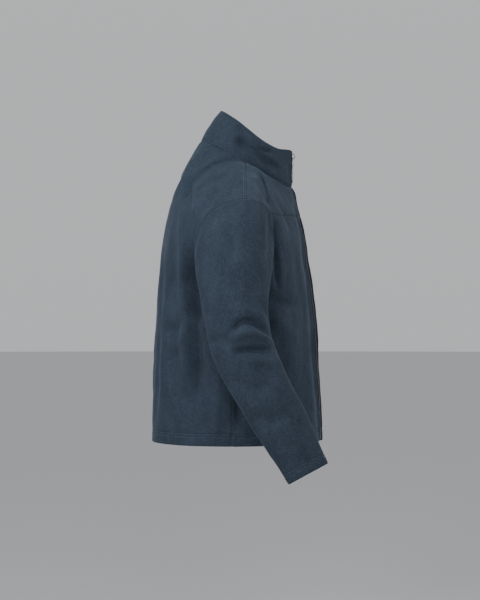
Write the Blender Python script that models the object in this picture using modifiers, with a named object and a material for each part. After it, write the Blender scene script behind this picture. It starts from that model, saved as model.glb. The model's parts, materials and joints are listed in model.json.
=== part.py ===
"""Fleece zip jacket, filled out as worn: boxy body, dropped sleeves, stand collar, zip closed to the top.

Metres, +Z up. The wearer faces -Y and their left hand is at +X. The origin lies midway between the two
neck points, where the shoulder seams meet the collar and the wearer's shoulders hold the jacket up.
Every panel is an open grid of points worked out from a few sections, then thickened to a wall of cloth.
"""

import math
from collections import namedtuple

import bmesh
import bpy
import numpy as np
from mathutils import Matrix, Vector

# Cloth and gaps
CLOTH = 0.0024
COLLAR_WALL = 0.0032
TAPE = 0.0010
SEAM_GAP = 0.0003
TAPE_CLEARANCE = 0.0008

# Heights of the seams
HEM_Z = -0.610
UNDERARM_Z = -0.288
CHEST_Z = -0.120

# The zip stands on a soft vertical ridge whose crest lies to the wearer's left of the zip
ZIP_CENTRE_X = -0.0010
ZIP_HALF_GAP = 0.0070
TAPE_HALF_WIDTH = 0.0125
RIDGE_X = 0.0060
RIDGE_WIDTH = 0.0160

# Rows run level from the centre line to the panel's outer edge, as a curve with a reach at each end
Row = namedtuple("Row", "z outline_y ridge edge_x edge_y edge_z centre_reach edge_reach edge_turn")
FRONT_ROWS = (
    Row(-0.610, -0.1715, 0.008, 0.1970, 0.0280, -0.610, 0.112, 0.112, 90),
    Row(-0.540, -0.1700, 0.011, 0.1990, 0.0270, -0.540, 0.114, 0.112, 90),
    Row(-0.435, -0.1641, 0.015, 0.2030, 0.0230, -0.435, 0.118, 0.110, 90),
    Row(-0.330, -0.1577, 0.016, 0.2050, 0.0160, -0.330, 0.120, 0.102, 90),
    Row(-0.288, -0.1525, 0.016, 0.2055, 0.0120, -0.288, 0.120, 0.098, 90),
    Row(-0.262, -0.1490, 0.015, 0.2045, -0.0240, -0.268, 0.115, 0.075, 75),
    Row(-0.225, -0.1425, 0.014, 0.2050, -0.0500, -0.236, 0.107, 0.065, 50),
    Row(-0.180, -0.1372, 0.012, 0.2100, -0.0605, -0.188, 0.098, 0.070, 25),
    Row(-0.120, -0.1235, 0.009, 0.2220, -0.0560, -0.124, 0.082, 0.075, 8),
)
BACK_ROWS = (
    Row(-0.610, 0.2035, 0.0, 0.1970, 0.0280, -0.610, 0.116, 0.108, 90),
    Row(-0.540, 0.2020, 0.0, 0.1990, 0.0270, -0.540, 0.118, 0.108, 90),
    Row(-0.435, 0.1996, 0.0, 0.2030, 0.0230, -0.435, 0.120, 0.108, 90),
    Row(-0.330, 0.1947, 0.0, 0.2050, 0.0160, -0.330, 0.122, 0.106, 90),
    Row(-0.288, 0.1920, 0.0, 0.2055, 0.0120, -0.288, 0.122, 0.106, 90),
    Row(-0.262, 0.1895, 0.0, 0.2045, 0.0520, -0.268, 0.122, 0.080, 80),
    Row(-0.225, 0.1855, 0.0, 0.2060, 0.0880, -0.240, 0.120, 0.068, 64),
    Row(-0.180, 0.1800, 0.0, 0.2135, 0.1030, -0.203, 0.116, 0.066, 48),
    Row(-0.120, 0.1690, 0.0, 0.2260, 0.0980, -0.160, 0.112, 0.070, 36),
)

# Neckline: a tilted oval, and the shoulder seam that leaves it at the neck point
NECK_HALF_WIDTH = 0.0740
NECK_CENTRE_Y = -0.0024
NECK_HALF_DEPTH = 0.0990
NECK_MID_Z = -0.0047
NECK_TILT = 0.50
NECK_WAVE = 0.0045
NECK_RIDGE = 0.0050
NECK_SHARE = 0.42
SHOULDER_END = (0.2500, -0.0040, -0.0910)
SHOULDER_BOW = 0.0070

# Slope, in degrees, at which the cloth arrives at the top edge: at the centre, neck point, shoulder end;
# and how late it turns from the first to the second
FRONT_ARRIVAL = (62.0, 22.0, 0.0)
BACK_ARRIVAL = (58.0, -22.0, 0.0)
FRONT_TURN = 1.0
BACK_TURN = 2.2

# Collar: its top edge is another oval, flat for a short way at the front
COLLAR_TOP_HALF_WIDTH = 0.0610
COLLAR_TOP_CENTRE_Y = -0.0255
COLLAR_TOP_HALF_DEPTH = 0.0781
COLLAR_BOW = 0.0030
TopPoint = namedtuple("TopPoint", "y z")
COLLAR_TOP = (
    TopPoint(-0.1036, 0.0250),
    TopPoint(-0.0716, 0.0270),
    TopPoint(-0.0499, 0.0375),
    TopPoint(-0.0217, 0.0575),
    TopPoint(0.0119, 0.0850),
    TopPoint(0.0526, 0.1130),
)

# Sleeve sections from the upper arm to the cuff: lean forward and splay outward are in degrees
Section = namedtuple("Section", "x y z lean splay half_front half_side")
SLEEVE_SECTIONS = (
    Section(0.2690, 0.0165, -0.318, 2.0, 9.0, 0.0745, 0.0570),
    Section(0.2760, 0.0110, -0.355, 6.0, 9.0, 0.0715, 0.0560),
    Section(0.2830, 0.0035, -0.392, 13.0, 8.5, 0.0690, 0.0550),
    Section(0.2885, -0.0085, -0.424, 21.0, 8.5, 0.0675, 0.0530),
    Section(0.2945, -0.0280, -0.466, 27.0, 8.0, 0.0655, 0.0500),
    Section(0.3025, -0.0600, -0.527, 28.6, 8.0, 0.0605, 0.0440),
    Section(0.3100, -0.0935, -0.589, 28.6, 7.0, 0.0550, 0.0380),
    Section(0.3150, -0.1180, -0.635, 28.6, 6.0, 0.0492, 0.0318),
    Section(0.3170, -0.1290, -0.655, 28.6, 6.0, 0.0465, 0.0298),
)
# Headings of the cloth where it leaves the armhole: at its top, front, underarm and back. Over the cap the
# sleeve carries on the way the shoulder is going, and it takes these headings as the armhole turns down
CAP_FLOW = 1.6
SLEEVE_HEADINGS = ((0.83, 0.0, -0.55), (0.62, -0.30, -0.72), (0.30, 0.0, -0.95), (0.62, 0.30, -0.72))

# Largest folds, each pressed in or raised along a curve drawn in one view, on both halves of the jacket
Fold = namedtuple("Fold", "piece view start middle end width height")
FOLDS = (
    Fold("sleeve", "side", (0.078, -0.395), (0.005, -0.362), (-0.066, -0.392), 0.013, -0.0060),
    Fold("sleeve", "side", (0.080, -0.372), (0.012, -0.392), (-0.062, -0.380), 0.012, 0.0045),
    Fold("sleeve", "side", (0.070, -0.445), (0.010, -0.425), (-0.070, -0.418), 0.015, -0.0055),
    Fold("sleeve", "side", (0.060, -0.150), (0.050, -0.220), (0.062, -0.300), 0.018, -0.0030),
    Fold("body", "back", (0.165, -0.075), (0.174, -0.140), (0.172, -0.230), 0.017, -0.0055),
    Fold("body", "back", (0.120, -0.070), (0.138, -0.200), (0.135, -0.420), 0.020, 0.0050),
    Fold("body", "back", (0.060, -0.160), (0.075, -0.330), (0.070, -0.560), 0.026, -0.0045),
    Fold("body", "front", (0.120, -0.160), (0.112, -0.330), (0.125, -0.560), 0.026, -0.0050),
    Fold("body", "side", (0.030, -0.400), (0.015, -0.500), (0.020, -0.600), 0.016, -0.0040),
    Fold("body", "side", (0.060, -0.400), (0.055, -0.500), (0.065, -0.600), 0.016, 0.0040),
    Fold("body", "side", (-0.040, -0.035), (-0.046, -0.070), (-0.048, -0.110), 0.009, -0.0035),
    Fold("collar", "side", (0.020, 0.060), (-0.020, 0.028), (-0.078, -0.020), 0.012, -0.0050),
)
FOLD_STEPS = 14
FOLD_TAPER = 0.25
HELD_REACH = 0.045

# How finely each stretch is divided
LOWER_LEVELS = (-0.610, -0.550, -0.490, -0.430, -0.370, -0.320, -0.297)
ARM_LEVELS = (-0.288, -0.276, -0.262, -0.244, -0.225, -0.203, -0.180, -0.150, -0.120)
FRONT_TOP_STEPS = 4
BACK_TOP_STEPS = 5
NECK_STEPS = 5
SIDE_STEPS = 5
BACK_HALF_STEPS = 9
CAP_STEPS = 6
SLEEVE_PLACES = (0.08, 0.15, 0.21, 0.27, 0.33, 0.41, 0.53, 0.68, 0.84, 1.0)
COLLAR_HALF_STEPS = 11
COLLAR_STEPS = 4
DENSE = 240
SEAM_STEP = 0.03
TAPE_COLLAR_Z = (-0.038, -0.022, -0.006)

# Zip slider, pull tab and bottom box: sizes run across the zip, out from it and up it
ZIP_TOP_Z = 0.0215
TEETH_TOP_Z = 0.0125
TAPE_SPREAD = 0.0024
SPREAD_RISE = 0.0030
HARD_CLEARANCE = 0.0005
HARD_BEVEL = 0.0003
SLIDER_Z = 0.0120
PLATE_SIZE = (0.0085, 0.0016, 0.0150)
SLIDER_NECK = (0.0022, 0.0042, 0.0035)
SLIDER_BEHIND = 0.0030
CROWN_SIZE = (0.0018, 0.0075, 0.0095)
CROWN_EYE = (0.0040, 0.0028, 0.0050)
EYE_DEPTH = 0.0036
PULL_WIDTH = 0.0052
PULL_THICKNESS = 0.0015
PULL_LENGTH = 0.0570
PULL_SLOT = (0.0028, 0.0110)
PULL_BAR = 0.0014
BOX_SIZE = (0.0070, 0.0026, 0.0100)
BOX_Z = -0.6030

FLEECE_COLOUR = (0.050, 0.078, 0.112, 1.0)
TAPE_COLOUR = (0.012, 0.018, 0.028, 1.0)
METAL_COLOUR = (0.42, 0.44, 0.46, 1.0)


# ---- curves and surfaces ----------------------------------------------------------------------------

def smooth(keys, values, places):
    """Smooth curve through the values at ascending keys, read at the places."""
    keys = np.asarray(keys, float)
    values = np.asarray(values, float)
    places = np.asarray(places, float)
    slopes = np.gradient(values, keys, axis=0)
    low = np.clip(np.searchsorted(keys, places, side="right") - 1, 0, len(keys) - 2)
    span = keys[low + 1] - keys[low]
    t = (places - keys[low]) / span
    if values.ndim > 1:
        span = span[..., None]
        t = t[..., None]
    start = (2 * t**3 - 3 * t**2 + 1) * values[low] + (t**3 - 2 * t**2 + t) * span * slopes[low]
    end = (3 * t**2 - 2 * t**3) * values[low + 1] + (t**3 - t**2) * span * slopes[low + 1]
    return start + end


def join(start, start_heading, end, end_heading, v):
    """Curve from start to end with the given unit headings, read at v from 0 to 1."""
    length = np.linalg.norm(end - start, axis=-1, keepdims=True)
    return (
        (2 * v**3 - 3 * v**2 + 1) * start
        + (v**3 - 2 * v**2 + v) * length * start_heading
        + (3 * v**2 - 2 * v**3) * end
        + (v**3 - v**2) * length * end_heading
    )


def unit(vectors):
    return vectors / np.linalg.norm(vectors, axis=-1, keepdims=True)


def points_of(*columns):
    return np.stack(np.broadcast_arrays(*columns), axis=-1)


def panel_edge(rows, z):
    """Outer edge of a half panel: the side seam up to the underarm, and the armhole above it."""
    seam = [row for row in rows if row.z <= UNDERARM_Z]
    armhole = [row for row in rows if row.z >= UNDERARM_Z]
    stretches = [smooth([row.z for row in part], [row[3:6] for row in part], z) for part in (seam, armhole)]
    return np.where((z <= UNDERARM_Z)[..., None], *stretches)


def row_points(rows, t, z):
    """Points of a half panel at t (0 centre line, 1 outer edge) and height z, before the zip's ridge."""
    table = smooth([row.z for row in rows], [row[1:] for row in rows], z)
    outline_y, ridge, centre_reach, edge_reach, turn = np.moveaxis(table[..., [0, 1, 5, 6, 7]], -1, 0)
    edge_x, edge_y, edge_z = np.moveaxis(panel_edge(rows, z), -1, 0)
    backward = 1.0 if rows is BACK_ROWS else -1.0
    turn = np.radians(turn)
    centre_y = outline_y + ridge
    first = points_of(0.0 * z, centre_y, z)
    second = points_of(centre_reach, centre_y, z + (edge_z - z) / 3)
    third = points_of(
        edge_x - edge_reach * np.cos(turn), edge_y + backward * edge_reach * np.sin(turn), edge_z
    )
    last = points_of(edge_x, edge_y, edge_z)
    t = t[..., None]
    return (1 - t) ** 3 * first + 3 * t * (1 - t) ** 2 * second + 3 * t**2 * (1 - t) * third + t**3 * last


def neckline(angle):
    """Collar seam: angle 0 at the centre front, 90 degrees at the neck point, 180 at the centre back."""
    y = NECK_CENTRE_Y - NECK_HALF_DEPTH * np.cos(angle)
    z = NECK_MID_Z + NECK_TILT * (y - NECK_CENTRE_Y) - NECK_WAVE * np.sin(2 * angle)
    front = np.clip(np.cos(angle), 0, 1) ** 4
    return points_of(NECK_HALF_WIDTH * np.sin(angle), y + NECK_RIDGE * front, z)


def top_edge(t, at_back):
    """Point and arriving heading on the neckline and the shoulder seam, for a half panel."""
    round_neck = np.clip(t / NECK_SHARE, 0, 1)
    along = np.clip((t - NECK_SHARE) / (1 - NECK_SHARE), 0, 1)
    angle = math.pi / 2 * round_neck
    neck = neckline(math.pi - angle if at_back else angle)
    corner = neckline(np.array([math.pi / 2]))
    shoulder = corner + along[..., None] * (np.array(SHOULDER_END) - corner)
    shoulder = shoulder + points_of(0 * along, 0 * along, SHOULDER_BOW * np.sin(math.pi * along))
    point = np.where((t <= NECK_SHARE)[..., None], neck, shoulder)
    centre, neck_point, shoulder_end = BACK_ARRIVAL if at_back else FRONT_ARRIVAL
    turn = BACK_TURN if at_back else FRONT_TURN
    slope = np.where(
        t <= NECK_SHARE,
        centre + (neck_point - centre) * np.sin(angle) ** turn,
        neck_point + (shoulder_end - neck_point) * along,
    )
    slope = np.radians(slope)
    forward = -1.0 if at_back else 1.0
    return point, points_of(0 * t, forward * np.cos(slope), np.sin(slope))


def top_points(rows, t, v):
    """Points of a half panel between its highest row (v 0) and its top edge (v 1)."""
    top_z = rows[-1].z
    step = 0.004
    start = row_points(rows, t, top_z + 0 * t)
    heading = unit(start - row_points(rows, t, top_z - step + 0 * t))
    end, arriving = top_edge(t, rows is BACK_ROWS)
    return join(start, heading, end, arriving, v[..., None])


def ridge_height(level_ridge, points):
    """How far the zip's ridge stands out at each point of the front half; the back half has none."""
    return level_ridge * np.exp(-(((points[..., 0] - RIDGE_X) / RIDGE_WIDTH) ** 2)) * (points[..., 1] < 0)


def with_ridge(points, side, ridge):
    """Half-panel points put on their side of the jacket, with the zip's ridge raised."""
    placed = points * np.array([side, 1.0, 1.0])
    placed[..., 1] -= ridge_height(ridge, placed)
    return placed


def front_points(side, t, level):
    """Front surface at t and a level: to 1 from hem to chest seam, to 2 on the yoke, to 3 on the collar."""
    t, level = np.broadcast_arrays(np.asarray(t, float), np.asarray(level, float))
    z = HEM_Z + (CHEST_Z - HEM_Z) * np.clip(level, 0, 1)
    lower = row_points(FRONT_ROWS, t, z)
    yoke = top_points(FRONT_ROWS, t, np.clip(level - 1, 0, 1))
    collar = collar_base(t / NECK_SHARE * math.pi / 2, np.clip(level - 2, 0, 1))
    level = level[..., None]
    points = np.where(level <= 1, lower, np.where(level <= 2, yoke, collar))
    keys = [row.z for row in FRONT_ROWS]
    ridge = smooth(keys, [row.ridge for row in FRONT_ROWS], z)
    rise = np.clip(level[..., 0] - 1, 0, 1)
    return with_ridge(points, side, ridge + (NECK_RIDGE - ridge) * rise)


def collar_base(angle, v):
    """Collar surface before the ridge: v 0 at the neckline, 1 at the top edge."""
    bottom = neckline(angle)
    y = COLLAR_TOP_CENTRE_Y - COLLAR_TOP_HALF_DEPTH * np.cos(angle)
    z = smooth([p.y for p in COLLAR_TOP], [p.z for p in COLLAR_TOP], y)
    front = np.clip(np.cos(angle), 0, 1) ** 4
    top = points_of(COLLAR_TOP_HALF_WIDTH * np.sin(angle), y + NECK_RIDGE * front, z)
    bow = COLLAR_BOW * np.sin(math.pi * v)
    outward = points_of(np.sin(angle), -np.cos(angle), 0 * angle)
    return bottom + (top - bottom) * v[..., None] + bow[..., None] * outward


def sleeve_loop():
    """Armhole, from the shoulder end down the front to the underarm, and up the back.

    Each entry holds a point a little way in from the panel's edge, then the edge point.
    """
    reach = np.array([1 - SEAM_STEP, 1.0])
    front_top = [top_points(FRONT_ROWS, reach, v + 0 * reach) for v in seam_steps(FRONT_TOP_STEPS)[::-1]]
    front = [row_points(FRONT_ROWS, reach, z + 0 * reach) for z in ARM_LEVELS[::-1]]
    back = [row_points(BACK_ROWS, reach, z + 0 * reach) for z in ARM_LEVELS]
    back_top = [top_points(BACK_ROWS, reach, v + 0 * reach) for v in seam_steps(BACK_TOP_STEPS)]
    down = np.array(front_top[:-1] + front)
    up = np.array(back[1:-1] + back_top)
    return down, up


def steps(start, end, count):
    return np.linspace(start, end, count + 1)


def seam_steps(count):
    """Steps from 0 to 1 with one more close to each end, so that walls meet squarely at a seam."""
    even = steps(0, 1, count)
    return np.concatenate([[0, SEAM_STEP], even[1:-1], [1 - SEAM_STEP, 1]])


def section_points(angle, s):
    """Sleeve tube at s (0 upper arm, 1 cuff); angle 0 faces out, 90 degrees forward."""
    table = np.array(SLEEVE_SECTIONS)
    keys = np.concatenate([[0], np.cumsum(np.linalg.norm(np.diff(table[:, :3], axis=0), axis=1))])
    read = smooth(keys / keys[-1], table, s)
    centre = read[..., :3]
    lean, splay = np.radians(read[..., 3]), np.radians(read[..., 4])
    axis = unit(points_of(np.tan(splay), -np.tan(lean), -np.ones_like(lean)))
    forward = unit(np.array([0.0, -1.0, 0.0]) + axis * axis[..., 1:2])
    outward = np.cross(axis, forward)
    outward = outward * np.sign(outward[..., :1])
    half_front, half_side = read[..., 5:6], read[..., 6:7]
    around = half_side * np.cos(angle)[..., None] * outward + half_front * np.sin(angle)[..., None] * forward
    return centre + around, axis


def sleeve_grid():
    """Rows round the sleeve, from the armhole to the cuff, for the wearer's left arm."""
    down, up = sleeve_loop()
    loop = np.concatenate([down, up[:-1]])
    halves = (down[:, 1], np.vstack([down[-1:, 1], up[:, 1]]))
    lengths = [np.linalg.norm(np.diff(part, axis=0), axis=1) for part in halves]
    around = [math.pi * np.cumsum(part) / part.sum() for part in lengths]
    angle = np.concatenate([[0.0], around[0], math.pi + around[1][:-1]])
    top, front, under, behind = np.array(SLEEVE_HEADINGS)
    cos, sin, cos_twice = (f[:, None] for f in (np.cos(angle), np.sin(angle), np.cos(2 * angle)))
    drawn = (top + front + under + behind) / 4 + (top - under) / 2 * cos
    drawn = unit(drawn + (front - behind) / 2 * sin + (top + under - front - behind) / 4 * cos_twice)
    edge = loop[:, 1]
    along = unit(np.roll(edge, -1, axis=0) - np.roll(edge, 1, axis=0))
    onward = edge - loop[:, 0]
    onward = unit(onward - (onward * along).sum(axis=-1, keepdims=True) * along)
    flow = np.clip(CAP_FLOW * cos, 0, 1)
    heading = unit(flow * onward + (1 - flow) * drawn)
    start = edge + SEAM_GAP * unit(flow * onward + (1 - flow) * np.array([1.0, 0.0, 0.0]))
    end, axis = section_points(angle, np.zeros_like(angle))
    cap = np.concatenate([[0, SEAM_STEP], steps(0, 1, CAP_STEPS)[1:]])
    rows = [join(start, heading, end, axis, v) for v in cap]
    rows += [section_points(angle, s + 0 * angle)[0] for s in SLEEVE_PLACES]
    return np.array(rows)


# ---- folds ------------------------------------------------------------------------------------------

def outward_normals(grid, closed):
    """Unit normals that look away from the sleeve's or the jacket's middle, and the grid's sense, 1 or -1."""
    if closed:
        across = np.roll(grid, -1, axis=1) - np.roll(grid, 1, axis=1)
        middle = grid.mean(axis=1, keepdims=True)
    else:
        across = np.gradient(grid, axis=1)
        middle = grid * np.array([0.0, 0.0, 1.0])
    normals = unit(np.cross(across, np.gradient(grid, axis=0)))
    sense = 1 if np.median(((grid - middle) * normals).sum(axis=-1)) > 0 else -1
    return sense * normals, sense


def held_share(grid):
    """0 on the armhole and the neckline, where panels meet, rising to 1 a little way from them."""
    down, up = sleeve_loop()
    held = np.vstack([down[:, 1], up[:, 1], neckline(steps(0, math.pi, BACK_HALF_STEPS))])
    folded = np.abs(grid) * np.array([1.0, 0.0, 0.0]) + grid * np.array([0.0, 1.0, 1.0])
    apart = np.linalg.norm(folded[..., None, :] - held, axis=-1).min(axis=-1)
    share = np.clip(apart / HELD_REACH, 0, 1)
    return share**2 * (3 - 2 * share)


def press_folds(grid, normals, piece):
    """Moves the points of a grid along their normals where the piece's folds run."""
    height = np.zeros(grid.shape[:2])
    for fold in FOLDS:
        if fold.piece != piece:
            continue
        t = steps(0, 1, FOLD_STEPS)[:, None]
        start, middle, end = (np.array(point) for point in (fold.start, fold.middle, fold.end))
        path = (1 - t) ** 2 * start + 2 * t * (1 - t) * (2 * middle - (start + end) / 2) + t**2 * end
        if fold.view == "side":
            seen, facing = grid[..., 1:], np.abs(normals[..., 0])
        else:
            seen = np.stack([np.abs(grid[..., 0]), grid[..., 2]], axis=-1)
            facing = np.clip(normals[..., 1] * (1 if fold.view == "back" else -1), 0, 1)
        apart = np.linalg.norm(seen[..., None, :] - path, axis=-1)
        nearest = apart.argmin(axis=-1) / FOLD_STEPS
        ends = np.clip(np.minimum(nearest, 1 - nearest) / FOLD_TAPER, 0, 1) ** 0.5
        across = np.exp(-((apart.min(axis=-1) / fold.width) ** 2))
        height += fold.height * ends * across * np.clip(2 * facing, 0, 1)
    return grid + (height * held_share(grid))[..., None] * normals


# ---- meshes -----------------------------------------------------------------------------------------

def material(name, colour, roughness, metallic=0.0):
    made = bpy.data.materials.new(name)
    made.use_nodes = True
    shader = made.node_tree.nodes["Principled BSDF"]
    shader.inputs["Base Color"].default_value = colour
    shader.inputs["Roughness"].default_value = roughness
    shader.inputs["Metallic"].default_value = metallic
    return made


def add_object(name, mesh, collection, look):
    mesh.materials.append(look)
    made = bpy.data.objects.new(name, mesh)
    collection.objects.link(made)
    return made


def add_panel(name, grid, wall, collection, look, piece, closed=False):
    """A wall of cloth under a grid of points, with its piece's folds pressed in."""
    normals, sense = outward_normals(grid, closed)
    grid = press_folds(grid, normals, piece)
    rows, columns = grid.shape[:2]
    faces = []
    for row in range(rows - 1):
        for column in range(columns if closed else columns - 1):
            after = (column + 1) % columns
            low, high = row * columns, (row + 1) * columns
            faces.append((low + column, low + after, high + after, high + column)[::sense])
    mesh = bpy.data.meshes.new(name)
    mesh.from_pydata([tuple(point) for point in grid.reshape(-1, 3)], [], faces)
    mesh.shade_smooth()
    panel = add_object(name, mesh, collection, look)
    solid = panel.modifiers.new("Wall", "SOLIDIFY")
    solid.thickness = wall
    solid.offset = -1.0
    solid.use_even_offset = True
    solid.use_rim = True


def edge_places(side, level, x_limits):
    """The t at which the front surface passes each distance from the zip's centre, for each level."""
    dense = np.linspace(0, NECK_SHARE, DENSE)
    points = front_points(side, dense[None, :], np.asarray(level, float)[:, None])
    from_zip = np.abs(points[..., 0] - ZIP_CENTRE_X)
    return np.array([[np.interp(x, row, dense) for x in x_limits] for row in from_zip])


def front_columns(side, level):
    """Column places t of a front panel at each level: zip edge, tape edge, then on to the outer edge."""
    first = edge_places(side, level, (ZIP_HALF_GAP, TAPE_HALF_WIDTH))
    spread = steps(0, 1, NECK_STEPS)[1:] ** 1.3
    to_neck = first[:, 1:2] + (NECK_SHARE - first[:, 1:2]) * spread
    to_edge = NECK_SHARE + (1 - NECK_SHARE) * steps(0, 1, SIDE_STEPS)[1:]
    to_edge = np.append(to_edge[:-1], [1 - SEAM_STEP, 1])
    return np.hstack([first, to_neck, np.broadcast_to(to_edge, (len(level), len(to_edge)))])


def level_of(z):
    return (np.asarray(z) - HEM_Z) / (CHEST_Z - HEM_Z)


def front_grid(side, levels, top_gap, bottom_gap):
    """A front or yoke: rows at the levels, drawn in at the seams by half the seam gap."""
    levels = np.array(levels, float)
    columns = front_columns(side, levels)
    levels = np.repeat(levels[:, None], columns.shape[1], axis=1)
    grid = front_points(side, columns, levels)
    below = levels[:, 0] < level_of(UNDERARM_Z) + 1e-9
    grid[below, -1, 1] -= SEAM_GAP / 2
    half = SEAM_GAP / 2
    if bottom_gap:
        grid[0] += half * unit(grid[1] - grid[0])
    if top_gap:
        grid[-1] += half * unit(grid[-2] - grid[-1])
    return grid


def back_grid():
    levels = np.array(LOWER_LEVELS + ARM_LEVELS)
    t = np.append(steps(0, 1, BACK_HALF_STEPS)[:-1], [1 - SEAM_STEP, 1])
    lower = row_points(BACK_ROWS, *np.broadcast_arrays(t[None, :], levels[:, None]))
    lower[levels < UNDERARM_Z + 1e-9, -1, 1] += SEAM_GAP / 2
    rise = seam_steps(BACK_TOP_STEPS)[1:]
    upper = top_points(BACK_ROWS, *np.broadcast_arrays(t[None, :], rise[:, None]))
    upper[-1] += SEAM_GAP / 2 * unit(upper[-2] - upper[-1])
    half = np.vstack([lower, upper])
    return np.hstack([half[:, ::-1], (half * np.array([-1.0, 1.0, 1.0]))[:, 1:]])


def collar_grid():
    rise = np.concatenate([[0, SEAM_STEP], steps(0, 1, COLLAR_STEPS)[1:]])
    halves = []
    for side in (-1, 1):
        start = edge_places(side, 2 + rise, (ZIP_HALF_GAP, TAPE_HALF_WIDTH)) / NECK_SHARE * math.pi / 2
        on = steps(0, 1, COLLAR_HALF_STEPS)[1:]
        angle = np.hstack([start, start[:, 1:2] + (math.pi - start[:, 1:2]) * on])
        base = collar_base(angle, np.repeat(rise[:, None], angle.shape[1], axis=1))
        halves.append(with_ridge(base, side, NECK_RIDGE))
    grid = np.hstack([halves[0][:, :-1], halves[1][:, ::-1]])
    grid[0] += 2 * SEAM_GAP * unit(grid[1] - grid[0])
    return grid


def centre_line(level):
    """Front surface across the zip at a level, from the right half to the left, in order of x."""
    dense = np.linspace(0, NECK_SHARE, DENSE)
    return np.vstack([front_points(-1, dense[:0:-1], level), front_points(1, dense, level)])


def collar_level(z):
    """Level at which the collar's centre front passes a height."""
    levels = np.linspace(2, 3, DENSE)
    return np.interp(z, front_points(1, 0 * levels, levels)[:, 2], levels)


def tape_depth(level):
    """How far the tapes' front lies behind the outside of the cloth that they are sewn to."""
    return CLOTH + (COLLAR_WALL - CLOTH) * np.clip(level - 1, 0, 1) + TAPE_CLEARANCE


def tape_grids():
    """The two zip tapes behind the front edges, up the chest, the yoke and the collar: right, then left."""
    lower = np.concatenate([level_of(LOWER_LEVELS), level_of(ARM_LEVELS)[:-1]])
    on_collar = TAPE_COLLAR_Z + (TEETH_TOP_Z, TEETH_TOP_Z + SPREAD_RISE, ZIP_TOP_Z)
    levels = np.concatenate([lower, 1 + seam_steps(FRONT_TOP_STEPS), collar_level(on_collar)])
    half = np.array([ZIP_HALF_GAP / 2, ZIP_HALF_GAP, TAPE_HALF_WIDTH])
    places = ZIP_CENTRE_X + np.concatenate([-half[::-1], [0], half])
    lines = [centre_line(level) for level in levels]
    read = [[np.interp(places, line[:, 0], line[:, i]) for i in (1, 2)] for line in lines]
    grid = np.array([points_of(places, y, z) for y, z in read])
    grid = grid - tape_depth(levels)[:, None, None] * outward_normals(grid, False)[0]
    centre = len(half)
    right, left = grid[:, : centre + 1].copy(), grid[:, centre:].copy()
    apart = np.full((len(levels), 1), SEAM_GAP / 2)
    apart[-2:] = TAPE_SPREAD
    right[:, -1] += apart * unit(right[:, -2] - right[:, -1])
    left[:, 0] += apart * unit(left[:, 1] - left[:, 0])
    return right, left


# ---- hard pieces ------------------------------------------------------------------------------------

def zip_frame(level):
    """Frame on the tapes' front at the zip's centre: X across the zip, Y into the jacket, Z up."""
    line = centre_line(level)
    places = ZIP_CENTRE_X + ZIP_HALF_GAP / 2 * np.array([-1, 0, 1])
    y, z = (np.interp(places, line[:, 0], line[:, i]) for i in (1, 2))
    across = Vector((places[2] - places[0], y[2] - y[0], 0.0)).normalized()
    inward = Vector((-across.y, across.x, 0.0))
    frame = Matrix.Identity(4)
    frame.col[0][:3] = across
    frame.col[1][:3] = inward
    frame.col[3][:3] = Vector((places[1], y[1], z[1])) + float(tape_depth(level)) * inward
    return frame


def block(name, centre, size, bevel=0.0):
    """A block with its edges cut off, or sharp; centre and size along its own axes."""
    mesh = bpy.data.meshes.new(name)
    shape = bmesh.new()
    place = Matrix.Translation(centre) @ Matrix.Diagonal((*size, 1.0))
    bmesh.ops.create_cube(shape, size=1.0, matrix=place)
    if bevel:
        bmesh.ops.bevel(shape, geom=shape.edges[:], offset=bevel, segments=1, affect="EDGES")
    shape.to_mesh(mesh)
    shape.free()
    return mesh


def add_hard(name, frame, blocks, parts, cutters, look):
    """A piece made of blocks: the first is the piece, and the others are joined to it or cut from it."""
    centre, size = blocks[0][1:]
    made = add_object(name, block(name, centre, size, HARD_BEVEL), parts, look)
    made.matrix_world = frame
    for index, (operation, centre, size) in enumerate(blocks[1:]):
        other_name = f"{name}_{operation.lower()}_{index}"
        other = bpy.data.objects.new(other_name, block(other_name, centre, size))
        other.matrix_world = frame
        other.hide_render = True
        other.display_type = "WIRE"
        cutters.objects.link(other)
        modifier = made.modifiers.new(other_name, "BOOLEAN")
        modifier.operation = operation
        modifier.object = other
        modifier.solver = "EXACT"


def add_slider(parts, cutters, look):
    """Front and rear plates joined by a neck above the teeth, with the crown that the pull hangs in."""
    plate_y = -HARD_CLEARANCE - PLATE_SIZE[1] / 2
    neck_y = plate_y + SLIDER_NECK[1] / 2
    neck_z = PLATE_SIZE[2] / 2 - SLIDER_NECK[2] / 2 - HARD_BEVEL
    crown_rear = plate_y - PLATE_SIZE[1] / 2 + HARD_BEVEL
    eye_y = crown_rear - EYE_DEPTH
    blocks = (
        ("UNION", (0, plate_y, 0), PLATE_SIZE),
        ("UNION", (0, crown_rear - CROWN_SIZE[1] / 2, 0), CROWN_SIZE),
        ("UNION", (0, neck_y, neck_z), SLIDER_NECK),
        ("UNION", (0, SLIDER_BEHIND, 0), PLATE_SIZE),
        ("DIFFERENCE", (0, eye_y, 0), CROWN_EYE),
    )
    frame = zip_frame(collar_level(SLIDER_Z))
    add_hard("zip_slider", frame, blocks, parts, cutters, look)
    hinge_z = PULL_BAR / 2 + HARD_CLEARANCE - CROWN_EYE[2] / 2
    return frame @ Matrix.Translation((0, eye_y, hinge_z))


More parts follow.
